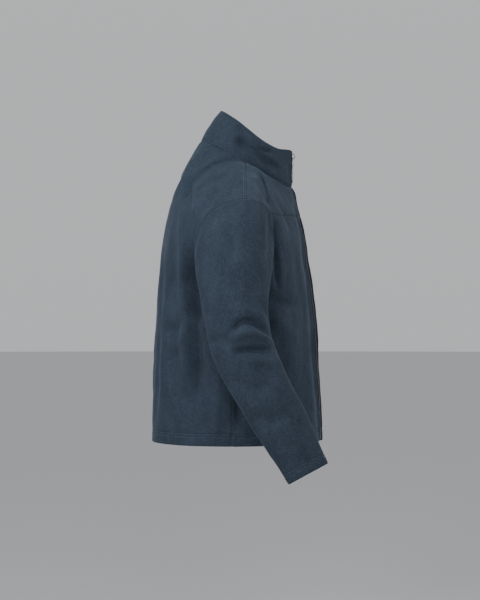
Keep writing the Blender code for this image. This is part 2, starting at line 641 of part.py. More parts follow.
def add_pull(hinge, parts, cutters, look):
    """A blade whose slotted head hangs on a bar through the crown's eye. Its origin is on the hinge."""
    slot_width, slot_length = PULL_SLOT
    middle_z = PULL_BAR / 2 - PULL_LENGTH / 2
    slot_z = -PULL_BAR / 2 - slot_length / 2
    blocks = (
        ("UNION", (0, 0, middle_z), (PULL_WIDTH, PULL_THICKNESS, PULL_LENGTH)),
        ("DIFFERENCE", (0, 0, slot_z), (slot_width, 2 * PULL_THICKNESS, slot_length)),
    )
    add_hard("zip_pull", hinge, blocks, parts, cutters, look)


def add_box(parts, cutters, look):
    """The block at the foot of the zip that the other tape's pin drops into."""
    blocks = (("UNION", (0, -HARD_CLEARANCE - BOX_SIZE[1] / 2, 0), BOX_SIZE),)
    add_hard("zip_box", zip_frame(float(level_of(BOX_Z))), blocks, parts, cutters, look)


def build():
    for old in list(bpy.data.objects):
        bpy.data.objects.remove(old, do_unlink=True)
    parts = bpy.data.collections.new("fleece_zip_jacket")
    cutters = bpy.data.collections.new("cutters")
    bpy.context.scene.collection.children.link(parts)
    bpy.context.scene.collection.children.link(cutters)
    fleece = material("fleece", FLEECE_COLOUR, 0.95)
    tape = material("zip_tape", TAPE_COLOUR, 0.8)
    metal = material("zip_metal", METAL_COLOUR, 0.35, 1.0)

    lower_levels = np.concatenate([level_of(LOWER_LEVELS), level_of(ARM_LEVELS)])
    yoke_levels = 1 + seam_steps(FRONT_TOP_STEPS)
    for side, word in ((-1, "right"), (1, "left")):
        front = front_grid(side, lower_levels, True, False)
        add_panel("front_" + word, front, CLOTH, parts, fleece, "body")
        yoke = front_grid(side, yoke_levels, True, True)
        add_panel("front_yoke_" + word, yoke, CLOTH, parts, fleece, "body")
        sleeve = sleeve_grid() * np.array([side, 1.0, 1.0])
        add_panel("sleeve_" + word, sleeve, CLOTH, parts, fleece, "sleeve", True)
    add_panel("back", back_grid(), CLOTH, parts, fleece, "body")
    add_panel("collar", collar_grid(), COLLAR_WALL, parts, fleece, "collar")
    for word, grid in zip(("right", "left"), tape_grids()):
        add_panel("zip_tape_" + word, grid, TAPE, parts, tape, "tape")
    hinge = add_slider(parts, cutters, metal)
    add_pull(hinge, parts, cutters, metal)
    add_box(parts, cutters, metal)


build()
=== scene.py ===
"""Fleece zip jacket: the finished surface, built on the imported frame.

Metres, +Z up. The wearer faces -Y and their left hand is at +X. Each cloth panel repeats the form of its
solid on a finer grid, with folds, turned edges, seams and stitches, and rides on the jacket's body.
"""

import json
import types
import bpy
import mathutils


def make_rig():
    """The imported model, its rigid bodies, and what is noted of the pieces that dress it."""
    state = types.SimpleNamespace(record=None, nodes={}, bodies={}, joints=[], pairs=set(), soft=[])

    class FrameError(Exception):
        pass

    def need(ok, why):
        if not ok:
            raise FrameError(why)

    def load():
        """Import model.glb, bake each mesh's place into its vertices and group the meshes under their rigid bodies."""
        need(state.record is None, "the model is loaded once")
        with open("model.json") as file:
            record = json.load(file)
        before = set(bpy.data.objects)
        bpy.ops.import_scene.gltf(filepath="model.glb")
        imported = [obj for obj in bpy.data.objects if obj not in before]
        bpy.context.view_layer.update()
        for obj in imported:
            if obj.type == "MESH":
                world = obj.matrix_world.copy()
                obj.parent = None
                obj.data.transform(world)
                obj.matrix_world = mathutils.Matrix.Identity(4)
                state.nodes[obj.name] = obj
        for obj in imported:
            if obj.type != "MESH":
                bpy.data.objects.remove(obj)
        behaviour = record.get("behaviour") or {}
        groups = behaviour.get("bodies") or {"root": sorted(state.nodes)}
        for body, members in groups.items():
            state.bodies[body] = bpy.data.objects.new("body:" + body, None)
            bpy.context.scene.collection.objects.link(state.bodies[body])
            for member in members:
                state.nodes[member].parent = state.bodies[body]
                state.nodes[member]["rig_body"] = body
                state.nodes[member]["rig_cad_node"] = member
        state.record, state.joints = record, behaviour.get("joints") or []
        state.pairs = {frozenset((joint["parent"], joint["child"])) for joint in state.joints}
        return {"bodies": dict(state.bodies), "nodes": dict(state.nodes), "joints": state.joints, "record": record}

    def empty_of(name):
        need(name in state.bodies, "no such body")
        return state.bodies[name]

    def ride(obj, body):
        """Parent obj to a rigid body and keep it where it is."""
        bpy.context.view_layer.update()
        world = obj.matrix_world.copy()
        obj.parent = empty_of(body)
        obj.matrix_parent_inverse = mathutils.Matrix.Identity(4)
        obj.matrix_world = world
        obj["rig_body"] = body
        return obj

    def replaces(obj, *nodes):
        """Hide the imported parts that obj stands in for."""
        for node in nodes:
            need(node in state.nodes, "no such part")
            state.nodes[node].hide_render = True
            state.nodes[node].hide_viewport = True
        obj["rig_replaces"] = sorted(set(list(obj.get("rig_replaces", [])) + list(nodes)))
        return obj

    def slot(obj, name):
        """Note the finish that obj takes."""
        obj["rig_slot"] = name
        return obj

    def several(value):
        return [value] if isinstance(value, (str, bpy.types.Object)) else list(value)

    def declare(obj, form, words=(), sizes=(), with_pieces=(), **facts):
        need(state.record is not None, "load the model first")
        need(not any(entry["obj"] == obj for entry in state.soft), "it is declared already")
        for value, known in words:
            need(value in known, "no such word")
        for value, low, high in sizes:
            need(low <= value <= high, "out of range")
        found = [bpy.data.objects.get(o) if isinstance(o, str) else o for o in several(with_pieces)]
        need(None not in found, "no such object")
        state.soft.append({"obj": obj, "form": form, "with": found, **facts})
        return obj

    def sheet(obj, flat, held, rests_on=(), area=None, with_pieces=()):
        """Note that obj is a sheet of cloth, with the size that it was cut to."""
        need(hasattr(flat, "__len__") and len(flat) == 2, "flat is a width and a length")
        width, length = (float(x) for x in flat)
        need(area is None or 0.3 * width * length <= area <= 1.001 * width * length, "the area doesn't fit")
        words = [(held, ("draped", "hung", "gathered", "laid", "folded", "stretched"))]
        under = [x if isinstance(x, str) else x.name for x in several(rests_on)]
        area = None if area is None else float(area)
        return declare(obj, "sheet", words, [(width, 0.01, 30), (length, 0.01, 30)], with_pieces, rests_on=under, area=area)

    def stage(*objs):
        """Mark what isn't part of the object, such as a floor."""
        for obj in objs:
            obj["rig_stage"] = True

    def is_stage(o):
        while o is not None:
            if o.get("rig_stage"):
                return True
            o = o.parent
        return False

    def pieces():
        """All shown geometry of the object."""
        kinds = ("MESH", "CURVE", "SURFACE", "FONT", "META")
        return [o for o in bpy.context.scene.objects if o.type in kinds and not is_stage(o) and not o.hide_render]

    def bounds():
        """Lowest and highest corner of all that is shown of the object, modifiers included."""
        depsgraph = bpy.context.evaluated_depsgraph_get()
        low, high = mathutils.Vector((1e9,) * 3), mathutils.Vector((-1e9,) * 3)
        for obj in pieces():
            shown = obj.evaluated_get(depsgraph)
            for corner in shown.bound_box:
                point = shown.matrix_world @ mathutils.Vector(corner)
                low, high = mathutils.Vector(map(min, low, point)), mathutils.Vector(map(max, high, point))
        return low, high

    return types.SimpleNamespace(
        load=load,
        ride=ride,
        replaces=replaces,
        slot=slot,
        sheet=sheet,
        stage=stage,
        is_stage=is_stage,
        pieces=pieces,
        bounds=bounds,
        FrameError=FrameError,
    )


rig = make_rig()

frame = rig.load()

import json
import math
from collections import namedtuple

import bmesh
import bpy
import numpy as np
from mathutils import Matrix, Vector, noise
from mathutils.kdtree import KDTree

CAD_BOX = [list(corner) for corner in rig.bounds()]

# ---- sizes shared with the solids ----

CLOTH = 0.0024
COLLAR_WALL = 0.0032
TAPE = 0.0010
TAPE_CLEARANCE = 0.0008
HEM_Z = -0.610
UNDERARM_Z = -0.288
CHEST_Z = -0.120
ZIP_CENTRE_X = -0.0010
ZIP_HALF_GAP = 0.0070
RIDGE_X = 0.0060
RIDGE_WIDTH = 0.0160

Row = namedtuple("Row", "z outline_y ridge edge_x edge_y edge_z centre_reach edge_reach edge_turn")
FRONT_ROWS = (
    Row(-0.610, -0.1715, 0.008, 0.1970, 0.0280, -0.610, 0.112, 0.112, 90),
    Row(-0.540, -0.1700, 0.011, 0.1990, 0.0270, -0.540, 0.114, 0.112, 90),
    Row(-0.435, -0.1641, 0.015, 0.2030, 0.0230, -0.435, 0.118, 0.110, 90),
    Row(-0.330, -0.1577, 0.016, 0.2050, 0.0160, -0.330, 0.120, 0.102, 90),
    Row(-0.288, -0.1525, 0.016, 0.2055, 0.0120, -0.288, 0.120, 0.098, 90),
    Row(-0.262, -0.1490, 0.015, 0.2045, -0.0240, -0.268, 0.115, 0.075, 75),
    Row(-0.225, -0.1425, 0.014, 0.2050, -0.0500, -0.236, 0.107, 0.065, 50),
    Row(-0.180, -0.1372, 0.012, 0.2100, -0.0605, -0.188, 0.098, 0.070, 25),
    Row(-0.120, -0.1235, 0.009, 0.2220, -0.0560, -0.124, 0.082, 0.075, 8),
)
BACK_ROWS = (
    Row(-0.610, 0.2035, 0.0, 0.1970, 0.0280, -0.610, 0.116, 0.108, 90),
    Row(-0.540, 0.2020, 0.0, 0.1990, 0.0270, -0.540, 0.118, 0.108, 90),
    Row(-0.435, 0.1996, 0.0, 0.2030, 0.0230, -0.435, 0.120, 0.108, 90),
    Row(-0.330, 0.1947, 0.0, 0.2050, 0.0160, -0.330, 0.122, 0.106, 90),
    Row(-0.288, 0.1920, 0.0, 0.2055, 0.0120, -0.288, 0.122, 0.106, 90),
    Row(-0.262, 0.1895, 0.0, 0.2045, 0.0520, -0.268, 0.122, 0.080, 80),
    Row(-0.225, 0.1855, 0.0, 0.2060, 0.0880, -0.240, 0.120, 0.068, 64),
    Row(-0.180, 0.1800, 0.0, 0.2135, 0.1030, -0.203, 0.116, 0.066, 48),
    Row(-0.120, 0.1690, 0.0, 0.2260, 0.0980, -0.160, 0.112, 0.070, 36),
)
NECK_HALF_WIDTH = 0.0740
NECK_CENTRE_Y = -0.0024
NECK_HALF_DEPTH = 0.0990
NECK_MID_Z = -0.0047
NECK_TILT = 0.50
NECK_WAVE = 0.0045
NECK_RIDGE = 0.0050
NECK_SHARE = 0.42
# the zip swells forward a little where the collar meets the yokes
NECK_PUFF = 0.0042
PUFF_Z = -0.061
PUFF_HEIGHT = 0.022
PUFF_WIDTH = 0.034
SHOULDER_END = (0.2500, -0.0040, -0.0910)
SHOULDER_BOW = 0.0070
FRONT_ARRIVAL = (62.0, 22.0, 0.0)
BACK_ARRIVAL = (58.0, -22.0, 0.0)
FRONT_TURN = 1.0
BACK_TURN = 2.2
COLLAR_TOP_HALF_WIDTH = 0.0610
COLLAR_TOP_CENTRE_Y = -0.0255
COLLAR_TOP_HALF_DEPTH = 0.0781
COLLAR_BOW = 0.0030
TopPoint = namedtuple("TopPoint", "y z")
COLLAR_TOP = (
    TopPoint(-0.1036, 0.0250),
    TopPoint(-0.0716, 0.0270),
    TopPoint(-0.0499, 0.0375),
    TopPoint(-0.0217, 0.0575),
    TopPoint(0.0119, 0.0850),
    TopPoint(0.0526, 0.1130),
)
Section = namedtuple("Section", "x y z lean splay half_front half_side")
SLEEVE_SECTIONS = (
    Section(0.2690, 0.0165, -0.318, 2.0, 9.0, 0.0745, 0.0570),
    Section(0.2760, 0.0110, -0.355, 6.0, 9.0, 0.0715, 0.0560),
    Section(0.2830, 0.0035, -0.392, 13.0, 8.5, 0.0690, 0.0550),
    Section(0.2885, -0.0085, -0.424, 21.0, 8.5, 0.0675, 0.0530),
    Section(0.2945, -0.0280, -0.466, 27.0, 8.0, 0.0655, 0.0500),
    Section(0.3025, -0.0600, -0.527, 28.6, 8.0, 0.0605, 0.0440),
    Section(0.3100, -0.0935, -0.589, 28.6, 7.0, 0.0550, 0.0380),
    Section(0.3150, -0.1180, -0.635, 28.6, 6.0, 0.0492, 0.0318),
    Section(0.3171, -0.1302, -0.6572, 28.6, 6.0, 0.0469, 0.0300),
)
CAP_FLOW = 1.6
SLEEVE_HEADINGS = ((0.83, 0.0, -0.55), (0.62, -0.30, -0.72), (0.30, 0.0, -0.95), (0.62, 0.30, -0.72))
ZIP_TOP_Z = 0.0215
TEETH_TOP_Z = 0.0125
TAPE_SPREAD = 0.0024
SLIDER_Z = 0.0120

# ---- folds ----

# Each fold is a soft trough (height below 0) or ridge along a curve drawn in one view of the jacket: the
# curve's start, middle and end, then the fold's half width and height. A point is (y, z) in the side view,
# and (distance from the middle, z) in the front and back views.
# Each group names the piece, the view, and the half: 1 the wearer's left, -1 the right, 0 both.
FOLDS = {
    ("sleeve", "side", 0): (
        # the elbow's crescent
        ((0.026, -0.378), (-0.008, -0.346), (-0.070, -0.396), 0.0066, -0.0115),
        ((0.018, -0.334), (-0.016, -0.326), (-0.056, -0.356), 0.0100, 0.0022),
        ((0.030, -0.388), (-0.014, -0.371), (-0.076, -0.398), 0.0095, 0.0082),
        ((0.030, -0.414), (-0.016, -0.404), (-0.066, -0.410), 0.0072, -0.0112),
        ((0.010, -0.432), (-0.030, -0.427), (-0.082, -0.434), 0.0110, 0.0050),
        ((0.080, -0.398), (0.052, -0.386), (0.018, -0.386), 0.0110, -0.0030),
        # upper arm and cap
        ((0.074, -0.118), (0.058, -0.160), (0.054, -0.230), 0.0085, 0.0036),
        ((0.044, -0.120), (0.027, -0.160), (0.022, -0.225), 0.0095, -0.0042),
        ((-0.034, -0.170), (-0.028, -0.240), (-0.036, -0.310), 0.018, -0.0024),
        ((0.012, -0.190), (0.006, -0.270), (0.014, -0.340), 0.022, 0.0026),
        ((-0.020, -0.300), (-0.050, -0.330), (-0.074, -0.366), 0.009, -0.0040),
        ((0.036, -0.200), (0.020, -0.240), (-0.010, -0.262), 0.011, -0.0020),
        # forearm and cuff
        ((0.034, -0.452), (-0.010, -0.482), (-0.056, -0.470), 0.014, -0.0034),
        ((0.000, -0.500), (-0.050, -0.520), (-0.100, -0.500), 0.014, 0.0024),
        ((-0.010, -0.536), (-0.050, -0.552), (-0.108, -0.528), 0.014, -0.0030),
        ((-0.060, -0.604), (-0.096, -0.618), (-0.136, -0.590), 0.012, 0.0022),
        ((-0.118, -0.600), (-0.128, -0.622), (-0.140, -0.640), 0.008, -0.0026),
    ),
    ("sleeve", "front", 0): (
        ((0.246, -0.080), (0.266, -0.270), (0.294, -0.560), 0.032, -0.0066),
    ),
    ("body", "side", 0): (
        # shoulder blade: a ridge off the collar's back, and the valley beside it that runs down the back
        ((0.124, -0.056), (0.086, -0.018), (0.046, 0.004), 0.0095, 0.0072),
        ((0.124, -0.034), (0.094, 0.002), (0.064, 0.020), 0.0100, -0.0060),
        ((0.120, -0.040), (0.122, -0.125), (0.120, -0.240), 0.0090, -0.0120),
        ((0.098, -0.050), (0.102, -0.088), (0.104, -0.150), 0.0080, 0.0060),
        ((0.118, -0.160), (0.103, -0.320), (0.095, -0.560), 0.0105, -0.0150),
        ((0.132, -0.080), (0.126, -0.280), (0.117, -0.540), 0.0095, 0.0125),
        ((0.158, -0.130), (0.153, -0.300), (0.147, -0.540), 0.0110, -0.0075),
        ((0.044, -0.058), (0.064, -0.084), (0.082, -0.120), 0.0058, -0.0060),
        ((0.054, -0.052), (0.074, -0.076), (0.090, -0.106), 0.0080, 0.0026),
        ((0.010, -0.040), (0.022, -0.058), (0.028, -0.078), 0.0080, -0.0022),
        # flank, behind the forearm
        ((0.026, -0.380), (0.012, -0.500), (0.018, -0.600), 0.0120, -0.0060),
        ((0.060, -0.400), (0.054, -0.500), (0.062, -0.600), 0.0150, 0.0044),
        ((0.008, -0.490), (0.014, -0.515), (0.010, -0.560), 0.0070, -0.0040),
        # crease between the collar and the front of the armhole, which goes on under the sleeve's front edge
        ((-0.018, -0.030), (-0.028, -0.062), (-0.038, -0.100), 0.0085, 0.0040),
        ((-0.064, -0.130), (-0.070, -0.200), (-0.072, -0.300), 0.0075, -0.0100),
    ),
    ("body", "back", 1): (
        ((0.066, -0.120), (0.080, -0.330), (0.072, -0.560), 0.026, -0.0080),
        ((0.110, -0.330), (0.116, -0.430), (0.104, -0.610), 0.018, 0.0034),
        ((0.026, -0.200), (0.020, -0.380), (0.030, -0.610), 0.016, -0.0030),
        ((0.192, -0.290), (0.150, -0.342), (0.090, -0.362), 0.015, -0.0046),
        ((0.190, -0.330), (0.160, -0.380), (0.110, -0.404), 0.014, 0.0030),
    ),
    ("body", "back", -1): (
        ((0.056, -0.150), (0.072, -0.360), (0.064, -0.600), 0.026, -0.0074),
        ((0.096, -0.300), (0.110, -0.420), (0.098, -0.610), 0.018, 0.0040),
        ((0.016, -0.260), (0.024, -0.420), (0.016, -0.610), 0.016, -0.0026),
        ((0.192, -0.300), (0.160, -0.352), (0.108, -0.378), 0.015, -0.0048),
        ((0.190, -0.336), (0.164, -0.386), (0.118, -0.414), 0.014, 0.0030),
    ),
    ("body", "back", 0): (
        ((0.060, -0.020), (0.010, -0.046), (-0.060, -0.020), 0.012, -0.0030),
    ),
    ("body", "front", 1): (
        # drapes from the chest and out of the underarm
        ((0.124, -0.150), (0.116, -0.330), (0.128, -0.570), 0.026, -0.0050),
        ((0.078, -0.180), (0.072, -0.360), (0.080, -0.600), 0.022, 0.0022),
        ((0.046, -0.300), (0.040, -0.420), (0.048, -0.600), 0.013, -0.0018),
        ((0.198, -0.285), (0.160, -0.302), (0.105, -0.286), 0.012, -0.0056),
        ((0.196, -0.314), (0.165, -0.350), (0.120, -0.366), 0.013, 0.0034),
    ),
    ("body", "front", -1): (
        # drapes from the chest and out of the underarm
        ((0.116, -0.170), (0.108, -0.350), (0.120, -0.600), 0.026, -0.0046),
        ((0.070, -0.200), (0.064, -0.380), (0.074, -0.600), 0.022, 0.0024),
        ((0.040, -0.330), (0.036, -0.450), (0.042, -0.600), 0.013, -0.0016),
        ((0.198, -0.290), (0.156, -0.314), (0.100, -0.302), 0.012, -0.0052),
        ((0.196, -0.322), (0.160, -0.366), (0.115, -0.386), 0.013, 0.0034),
    ),
    ("body", "front", 0): (
        ((0.150, -0.084), (0.126, -0.112), (0.104, -0.170), 0.014, -0.0034),
    ),
    ("collar", "side", 0): (
        ((0.022, 0.046), (-0.022, 0.020), (-0.086, -0.032), 0.0090, -0.0088),
        ((-0.032, 0.027), (-0.046, 0.022), (-0.060, 0.018), 0.0036, -0.0050),
        ((-0.006, 0.044), (-0.036, 0.014), (-0.090, -0.014), 0.0080, 0.0040),
        ((0.044, 0.096), (0.024, 0.052), (0.034, 0.014), 0.0140, 0.0026),
        ((0.066, 0.090), (0.052, 0.062), (0.060, 0.036), 0.0100, -0.0026),
    ),
    ("collar", "back", 1): (
        ((0.016, 0.100), (0.026, 0.064), (0.022, 0.040), 0.0100, -0.0024),
    ),
    ("collar", "back", -1): (
        ((0.020, 0.100), (0.012, 0.070), (0.020, 0.040), 0.0100, -0.0020),
    ),
}
# Creases that cross the armhole seam, in the side view: the cloth on both sides of the seam goes in together.
# Each has a curve, a half width and a depth, as a fold has.
PINCHES = (
    ((-0.031, -0.018), (-0.043, -0.066), (-0.053, -0.128), 0.0056, 0.0220),
    ((-0.043, -0.070), (-0.058, -0.140), (-0.064, -0.250), 0.0078, 0.0115),
)
# a pinch sets in between these distances from the middle, and dies away this far down the sleeve
PINCH_X = (0.09, 0.13)
SLEEVE_PINCH = 0.014
FOLD_STEPS = 20
FOLD_TAPER = 0.25
# a fold on one half fades out across this width at the middle
CENTRE_FADE = 0.030
# folds fade out this near the armhole and the neckline
HELD_REACH = 0.011

# Slow unevenness of the cloth: wavelength and height of each layer
Wave = namedtuple("Wave", "length height seed")
WAVES = (Wave(0.085, 0.0022, 3.0), Wave(0.036, 0.0016, 11.0), Wave(0.015, 0.0006, 29.0))
WAVE_STRETCH = np.array([1.0, 1.0, 0.6])

# ---- grids ----

CELL = 0.0042
CAP_CELL = 0.0052
TUBE_CELL = 0.0040
COLLAR_CELL = 0.0036
DENSE = 300
NECK_COLUMNS = 22
SHOULDER_COLUMNS = 46
FRONT_COLUMNS = 88
COLLAR_COLUMNS = 56
YOKE_HEIGHT = 0.120
BACK_TOP_HEIGHT = 0.185
COLLAR_HEIGHT = 0.080
CAP_LENGTH = 0.220
TUBE_LENGTH = 0.375
LOWER_HEIGHT = CHEST_Z - HEM_Z
# points round the armhole: down the yoke, down the front, and up the back above the chest
YOKE_POINTS = 30
FRONT_POINTS = 46
BACK_POINTS = 42
JUST_INSIDE = 0.97
HELD_EDGE_POINTS = 400
HELD_NECK_POINTS = 300
# the body's bend at the underarm's level is eased, away from the side edges
EASE_INSET = 0.020
EASE_HEIGHT = 0.035
EASE_ROUNDS = 80
# the sleeve's cap is rounded off, away from the armhole
CAP_EASE = 0.030
CAP_ROUNDS = 60

# Distances of the fine rows and columns from a border. They crowd where a seam, an edge or stitches lie.
PLAIN_END = (0.0,)
SEAM_OFFSETS = (
    0, 0.0006, 0.0012, 0.0019, 0.0028, 0.0038, 0.0048, 0.0055, 0.0062, 0.0069, 0.0078, 0.0092, 0.0115, 0.015,
)
EDGE_OFFSETS = (
    0, 0.0007, 0.0015, 0.0025, 0.004, 0.0062, 0.009,
    0.0125, 0.0155, 0.0165, 0.0175, 0.0185, 0.0205, 0.0225, 0.0235, 0.0245, 0.027,
)
CUFF_OFFSETS = (
    0, 0.0007, 0.0015, 0.0025, 0.004, 0.0062, 0.009,
    0.012, 0.014, 0.015, 0.016, 0.0175, 0.019, 0.020, 0.021, 0.0235,
)
COLLAR_EDGE_OFFSETS = (0, 0.0006, 0.0013, 0.0022, 0.0035, 0.0055)

# ---- finish: edges, seams and stitches ----

SEAM_DIP = 0.0008
SEAM_DIP_WIDTH = 0.0016
STITCH_DIP = 0.0009
STITCH_DIP_WIDTH = 0.0014
NEAR_ROW = 0.0019
FAR_ROW = 0.0062
COLLAR_ROW = 0.0028
HEM_DEPTH = 0.0200
HEM_EXTRA = 0.0016
HEM_ROWS = (0.0175, 0.0235)
CUFF_DEPTH = 0.0170
CUFF_ROWS = (0.0150, 0.0200)
ZIP_EDGE_DEPTH = 0.0075
ZIP_EDGE_EXTRA = 0.0010
ZIP_EDGE_ROWS = (0.0022, 0.0062)
COLLAR_END_DEPTH = 0.0090
# a turned edge swells outwards, from nothing at the very edge, and ends in a soft step
HEM_SWELL = 0.0004
ZIP_EDGE_SWELL = 0.0014
SWELL_REACH = 0.003
TURN_STEP = 0.004
THINNEST = 0.0009
CORNER_RADIUS = 0.0050
RIM_STEPS = 4
# how far from a seam the cloth is drawn along to close it
MEET_REACH = 0.016
ARMHOLE_REACH = 0.012
STITCH_PITCH = 0.0031
STITCH_LENGTH = 0.0024
STITCH_RADIUS = 0.00026
# a stitch's bar: places along it in its lengths, and lift and thickness there in radii
STITCH_BAR = np.array([-0.5, -0.3, 0.3, 0.5])
STITCH_LIFT = np.array([-0.9, 0.55, 0.55, -0.9])
STITCH_TAPER = np.array([0.5, 1, 1, 0.5])

JACKET = "jacket"


# ---- curves and surfaces ----

def smooth(keys, values, places):
    """Smooth curve through the values at ascending keys, read at the places."""
    keys = np.asarray(keys, float)
    values = np.asarray(values, float)
    places = np.asarray(places, float)
    slopes = np.gradient(values, keys, axis=0)
    low = np.clip(np.searchsorted(keys, places, side="right") - 1, 0, len(keys) - 2)
    span = keys[low + 1] - keys[low]
    t = (places - keys[low]) / span
    if values.ndim > 1:
        span = span[..., None]
        t = t[..., None]
    start = (2 * t**3 - 3 * t**2 + 1) * values[low] + (t**3 - 2 * t**2 + t) * span * slopes[low]
    end = (3 * t**2 - 2 * t**3) * values[low + 1] + (t**3 - t**2) * span * slopes[low + 1]
    return start + end


def join(start, start_heading, end, end_heading, v):
    """Curve from start to end with the given unit headings, read at v from 0 to 1."""
    length = np.linalg.norm(end - start, axis=-1, keepdims=True)
    return (
        (2 * v**3 - 3 * v**2 + 1) * start
        + (v**3 - 2 * v**2 + v) * length * start_heading
        + (3 * v**2 - 2 * v**3) * end
        + (v**3 - v**2) * length * end_heading
    )


def unit(vectors):
    """The vectors at length 1."""
    return vectors / np.maximum(np.linalg.norm(vectors, axis=-1, keepdims=True), 1e-12)


def points_of(*columns):
    """Points from their separate x, y and z."""
    return np.stack(np.broadcast_arrays(*columns), axis=-1)


def panel_edge(rows, z):
    """Outer edge of a half panel: the side seam up to the underarm, and the armhole above it."""
    seam = [row for row in rows if row.z <= UNDERARM_Z]
    armhole = [row for row in rows if row.z >= UNDERARM_Z]
    stretches = [smooth([row.z for row in part], [row[3:6] for row in part], z) for part in (seam, armhole)]
    return np.where((z <= UNDERARM_Z)[..., None], *stretches)


def row_points(rows, t, z):
    """Points of a half panel at t (0 centre line, 1 outer edge) and height z, before the zip's ridge."""
    table = smooth([row.z for row in rows], [row[1:] for row in rows], z)
    outline_y, ridge, centre_reach, edge_reach, turn = np.moveaxis(table[..., [0, 1, 5, 6, 7]], -1, 0)
    edge_x, edge_y, edge_z = np.moveaxis(panel_edge(rows, z), -1, 0)
    backward = 1.0 if rows is BACK_ROWS else -1.0
    turn = np.radians(turn)
    centre_y = outline_y + ridge
    first = points_of(0.0 * z, centre_y, z)
    second = points_of(centre_reach, centre_y, z + (edge_z - z) / 3)
    third = points_of(
        edge_x - edge_reach * np.cos(turn), edge_y + backward * edge_reach * np.sin(turn), edge_z
    )
    last = points_of(edge_x, edge_y, edge_z)
    t = t[..., None]
    return (1 - t) ** 3 * first + 3 * t * (1 - t) ** 2 * second + 3 * t**2 * (1 - t) * third + t**3 * last


def neckline(angle):
    """Collar seam: angle 0 at the centre front, 90 degrees at the neck point, 180 at the centre back."""
    y = NECK_CENTRE_Y - NECK_HALF_DEPTH * np.cos(angle)
    z = NECK_MID_Z + NECK_TILT * (y - NECK_CENTRE_Y) - NECK_WAVE * np.sin(2 * angle)
    front = np.clip(np.cos(angle), 0, 1) ** 4
    return points_of(NECK_HALF_WIDTH * np.sin(angle), y + NECK_RIDGE * front, z)


def top_edge(t, at_back):
    """Point and arriving heading on the neckline and the shoulder seam, for a half panel."""
    round_neck = np.clip(t / NECK_SHARE, 0, 1)
    along = np.clip((t - NECK_SHARE) / (1 - NECK_SHARE), 0, 1)
    angle = math.pi / 2 * round_neck
    neck = neckline(math.pi - angle if at_back else angle)
    corner = neckline(np.array([math.pi / 2]))
    shoulder = corner + along[..., None] * (np.array(SHOULDER_END) - corner)
    shoulder = shoulder + points_of(0 * along, 0 * along, SHOULDER_BOW * np.sin(math.pi * along))
    point = np.where((t <= NECK_SHARE)[..., None], neck, shoulder)
    centre, neck_point, shoulder_end = BACK_ARRIVAL if at_back else FRONT_ARRIVAL
    turn = BACK_TURN if at_back else FRONT_TURN
    slope = np.where(
        t <= NECK_SHARE,
        centre + (neck_point - centre) * np.sin(angle) ** turn,
        neck_point + (shoulder_end - neck_point) * along,
    )
    slope = np.radians(slope)
    forward = -1.0 if at_back else 1.0
    return point, points_of(0 * t, forward * np.cos(slope), np.sin(slope))


def top_points(rows, t, v):
    """Points of a half panel between its highest row (v 0) and its top edge (v 1)."""
    top_z = rows[-1].z
    step = 0.004
    start = row_points(rows, t, top_z + 0 * t)
    heading = unit(start - row_points(rows, t, top_z - step + 0 * t))
    end, arriving = top_edge(t, rows is BACK_ROWS)
    return join(start, heading, end, arriving, v[..., None])


def with_ridge(points, side, ridge):
    """Half-panel points put on their side of the jacket, with the zip's ridge raised."""
    placed = points * np.array([side, 1.0, 1.0])
    in_front = placed[..., 1] < 0
    above, across = (placed[..., 2] - PUFF_Z) / PUFF_HEIGHT, placed[..., 0] / PUFF_WIDTH
    puff = NECK_PUFF * np.exp(-(above**2) - across**2)
    placed[..., 1] -= in_front * (ridge * np.exp(-(((placed[..., 0] - RIDGE_X) / RIDGE_WIDTH) ** 2)) + puff)
    return placed


def front_points(side, t, level):
    """Front surface at t and a level: to 1 from hem to chest seam, to 2 on the yoke, to 3 on the collar."""
    t, level = np.broadcast_arrays(np.asarray(t, float), np.asarray(level, float))
    z = HEM_Z + (CHEST_Z - HEM_Z) * np.clip(level, 0, 1)
    lower = row_points(FRONT_ROWS, t, z)
    yoke = top_points(FRONT_ROWS, t, np.clip(level - 1, 0, 1))
    collar = collar_base(t / NECK_SHARE * math.pi / 2, np.clip(level - 2, 0, 1))
    level = level[..., None]
    points = np.where(level <= 1, lower, np.where(level <= 2, yoke, collar))
    keys = [row.z for row in FRONT_ROWS]
    ridge = smooth(keys, [row.ridge for row in FRONT_ROWS], z)
    rise = np.clip(level[..., 0] - 1, 0, 1)
    return with_ridge(points, side, ridge + (NECK_RIDGE - ridge) * rise)


def back_points(t, level):
    """Back surface on the left half: level to 1 from hem to chest height, to 2 up to the shoulder seam."""
    t, level = np.broadcast_arrays(np.asarray(t, float), np.asarray(level, float))
    z = HEM_Z + (CHEST_Z - HEM_Z) * np.clip(level, 0, 1)
    lower = row_points(BACK_ROWS, t, z)
    upper = top_points(BACK_ROWS, t, np.clip(level - 1, 0, 1))
    return np.where(level[..., None] <= 1, lower, upper)


def collar_base(angle, v):
    """Collar surface before the ridge: v 0 at the neckline, 1 at the top edge."""
    bottom = neckline(angle)
    y = COLLAR_TOP_CENTRE_Y - COLLAR_TOP_HALF_DEPTH * np.cos(angle)
    z = smooth([p.y for p in COLLAR_TOP], [p.z for p in COLLAR_TOP], y)
    front = np.clip(np.cos(angle), 0, 1) ** 4
    top = points_of(COLLAR_TOP_HALF_WIDTH * np.sin(angle), y + NECK_RIDGE * front, z)
    bow = COLLAR_BOW * np.sin(math.pi * v)
    outward = points_of(np.sin(angle), -np.cos(angle), 0 * angle)
    return bottom + (top - bottom) * v[..., None] + bow[..., None] * outward


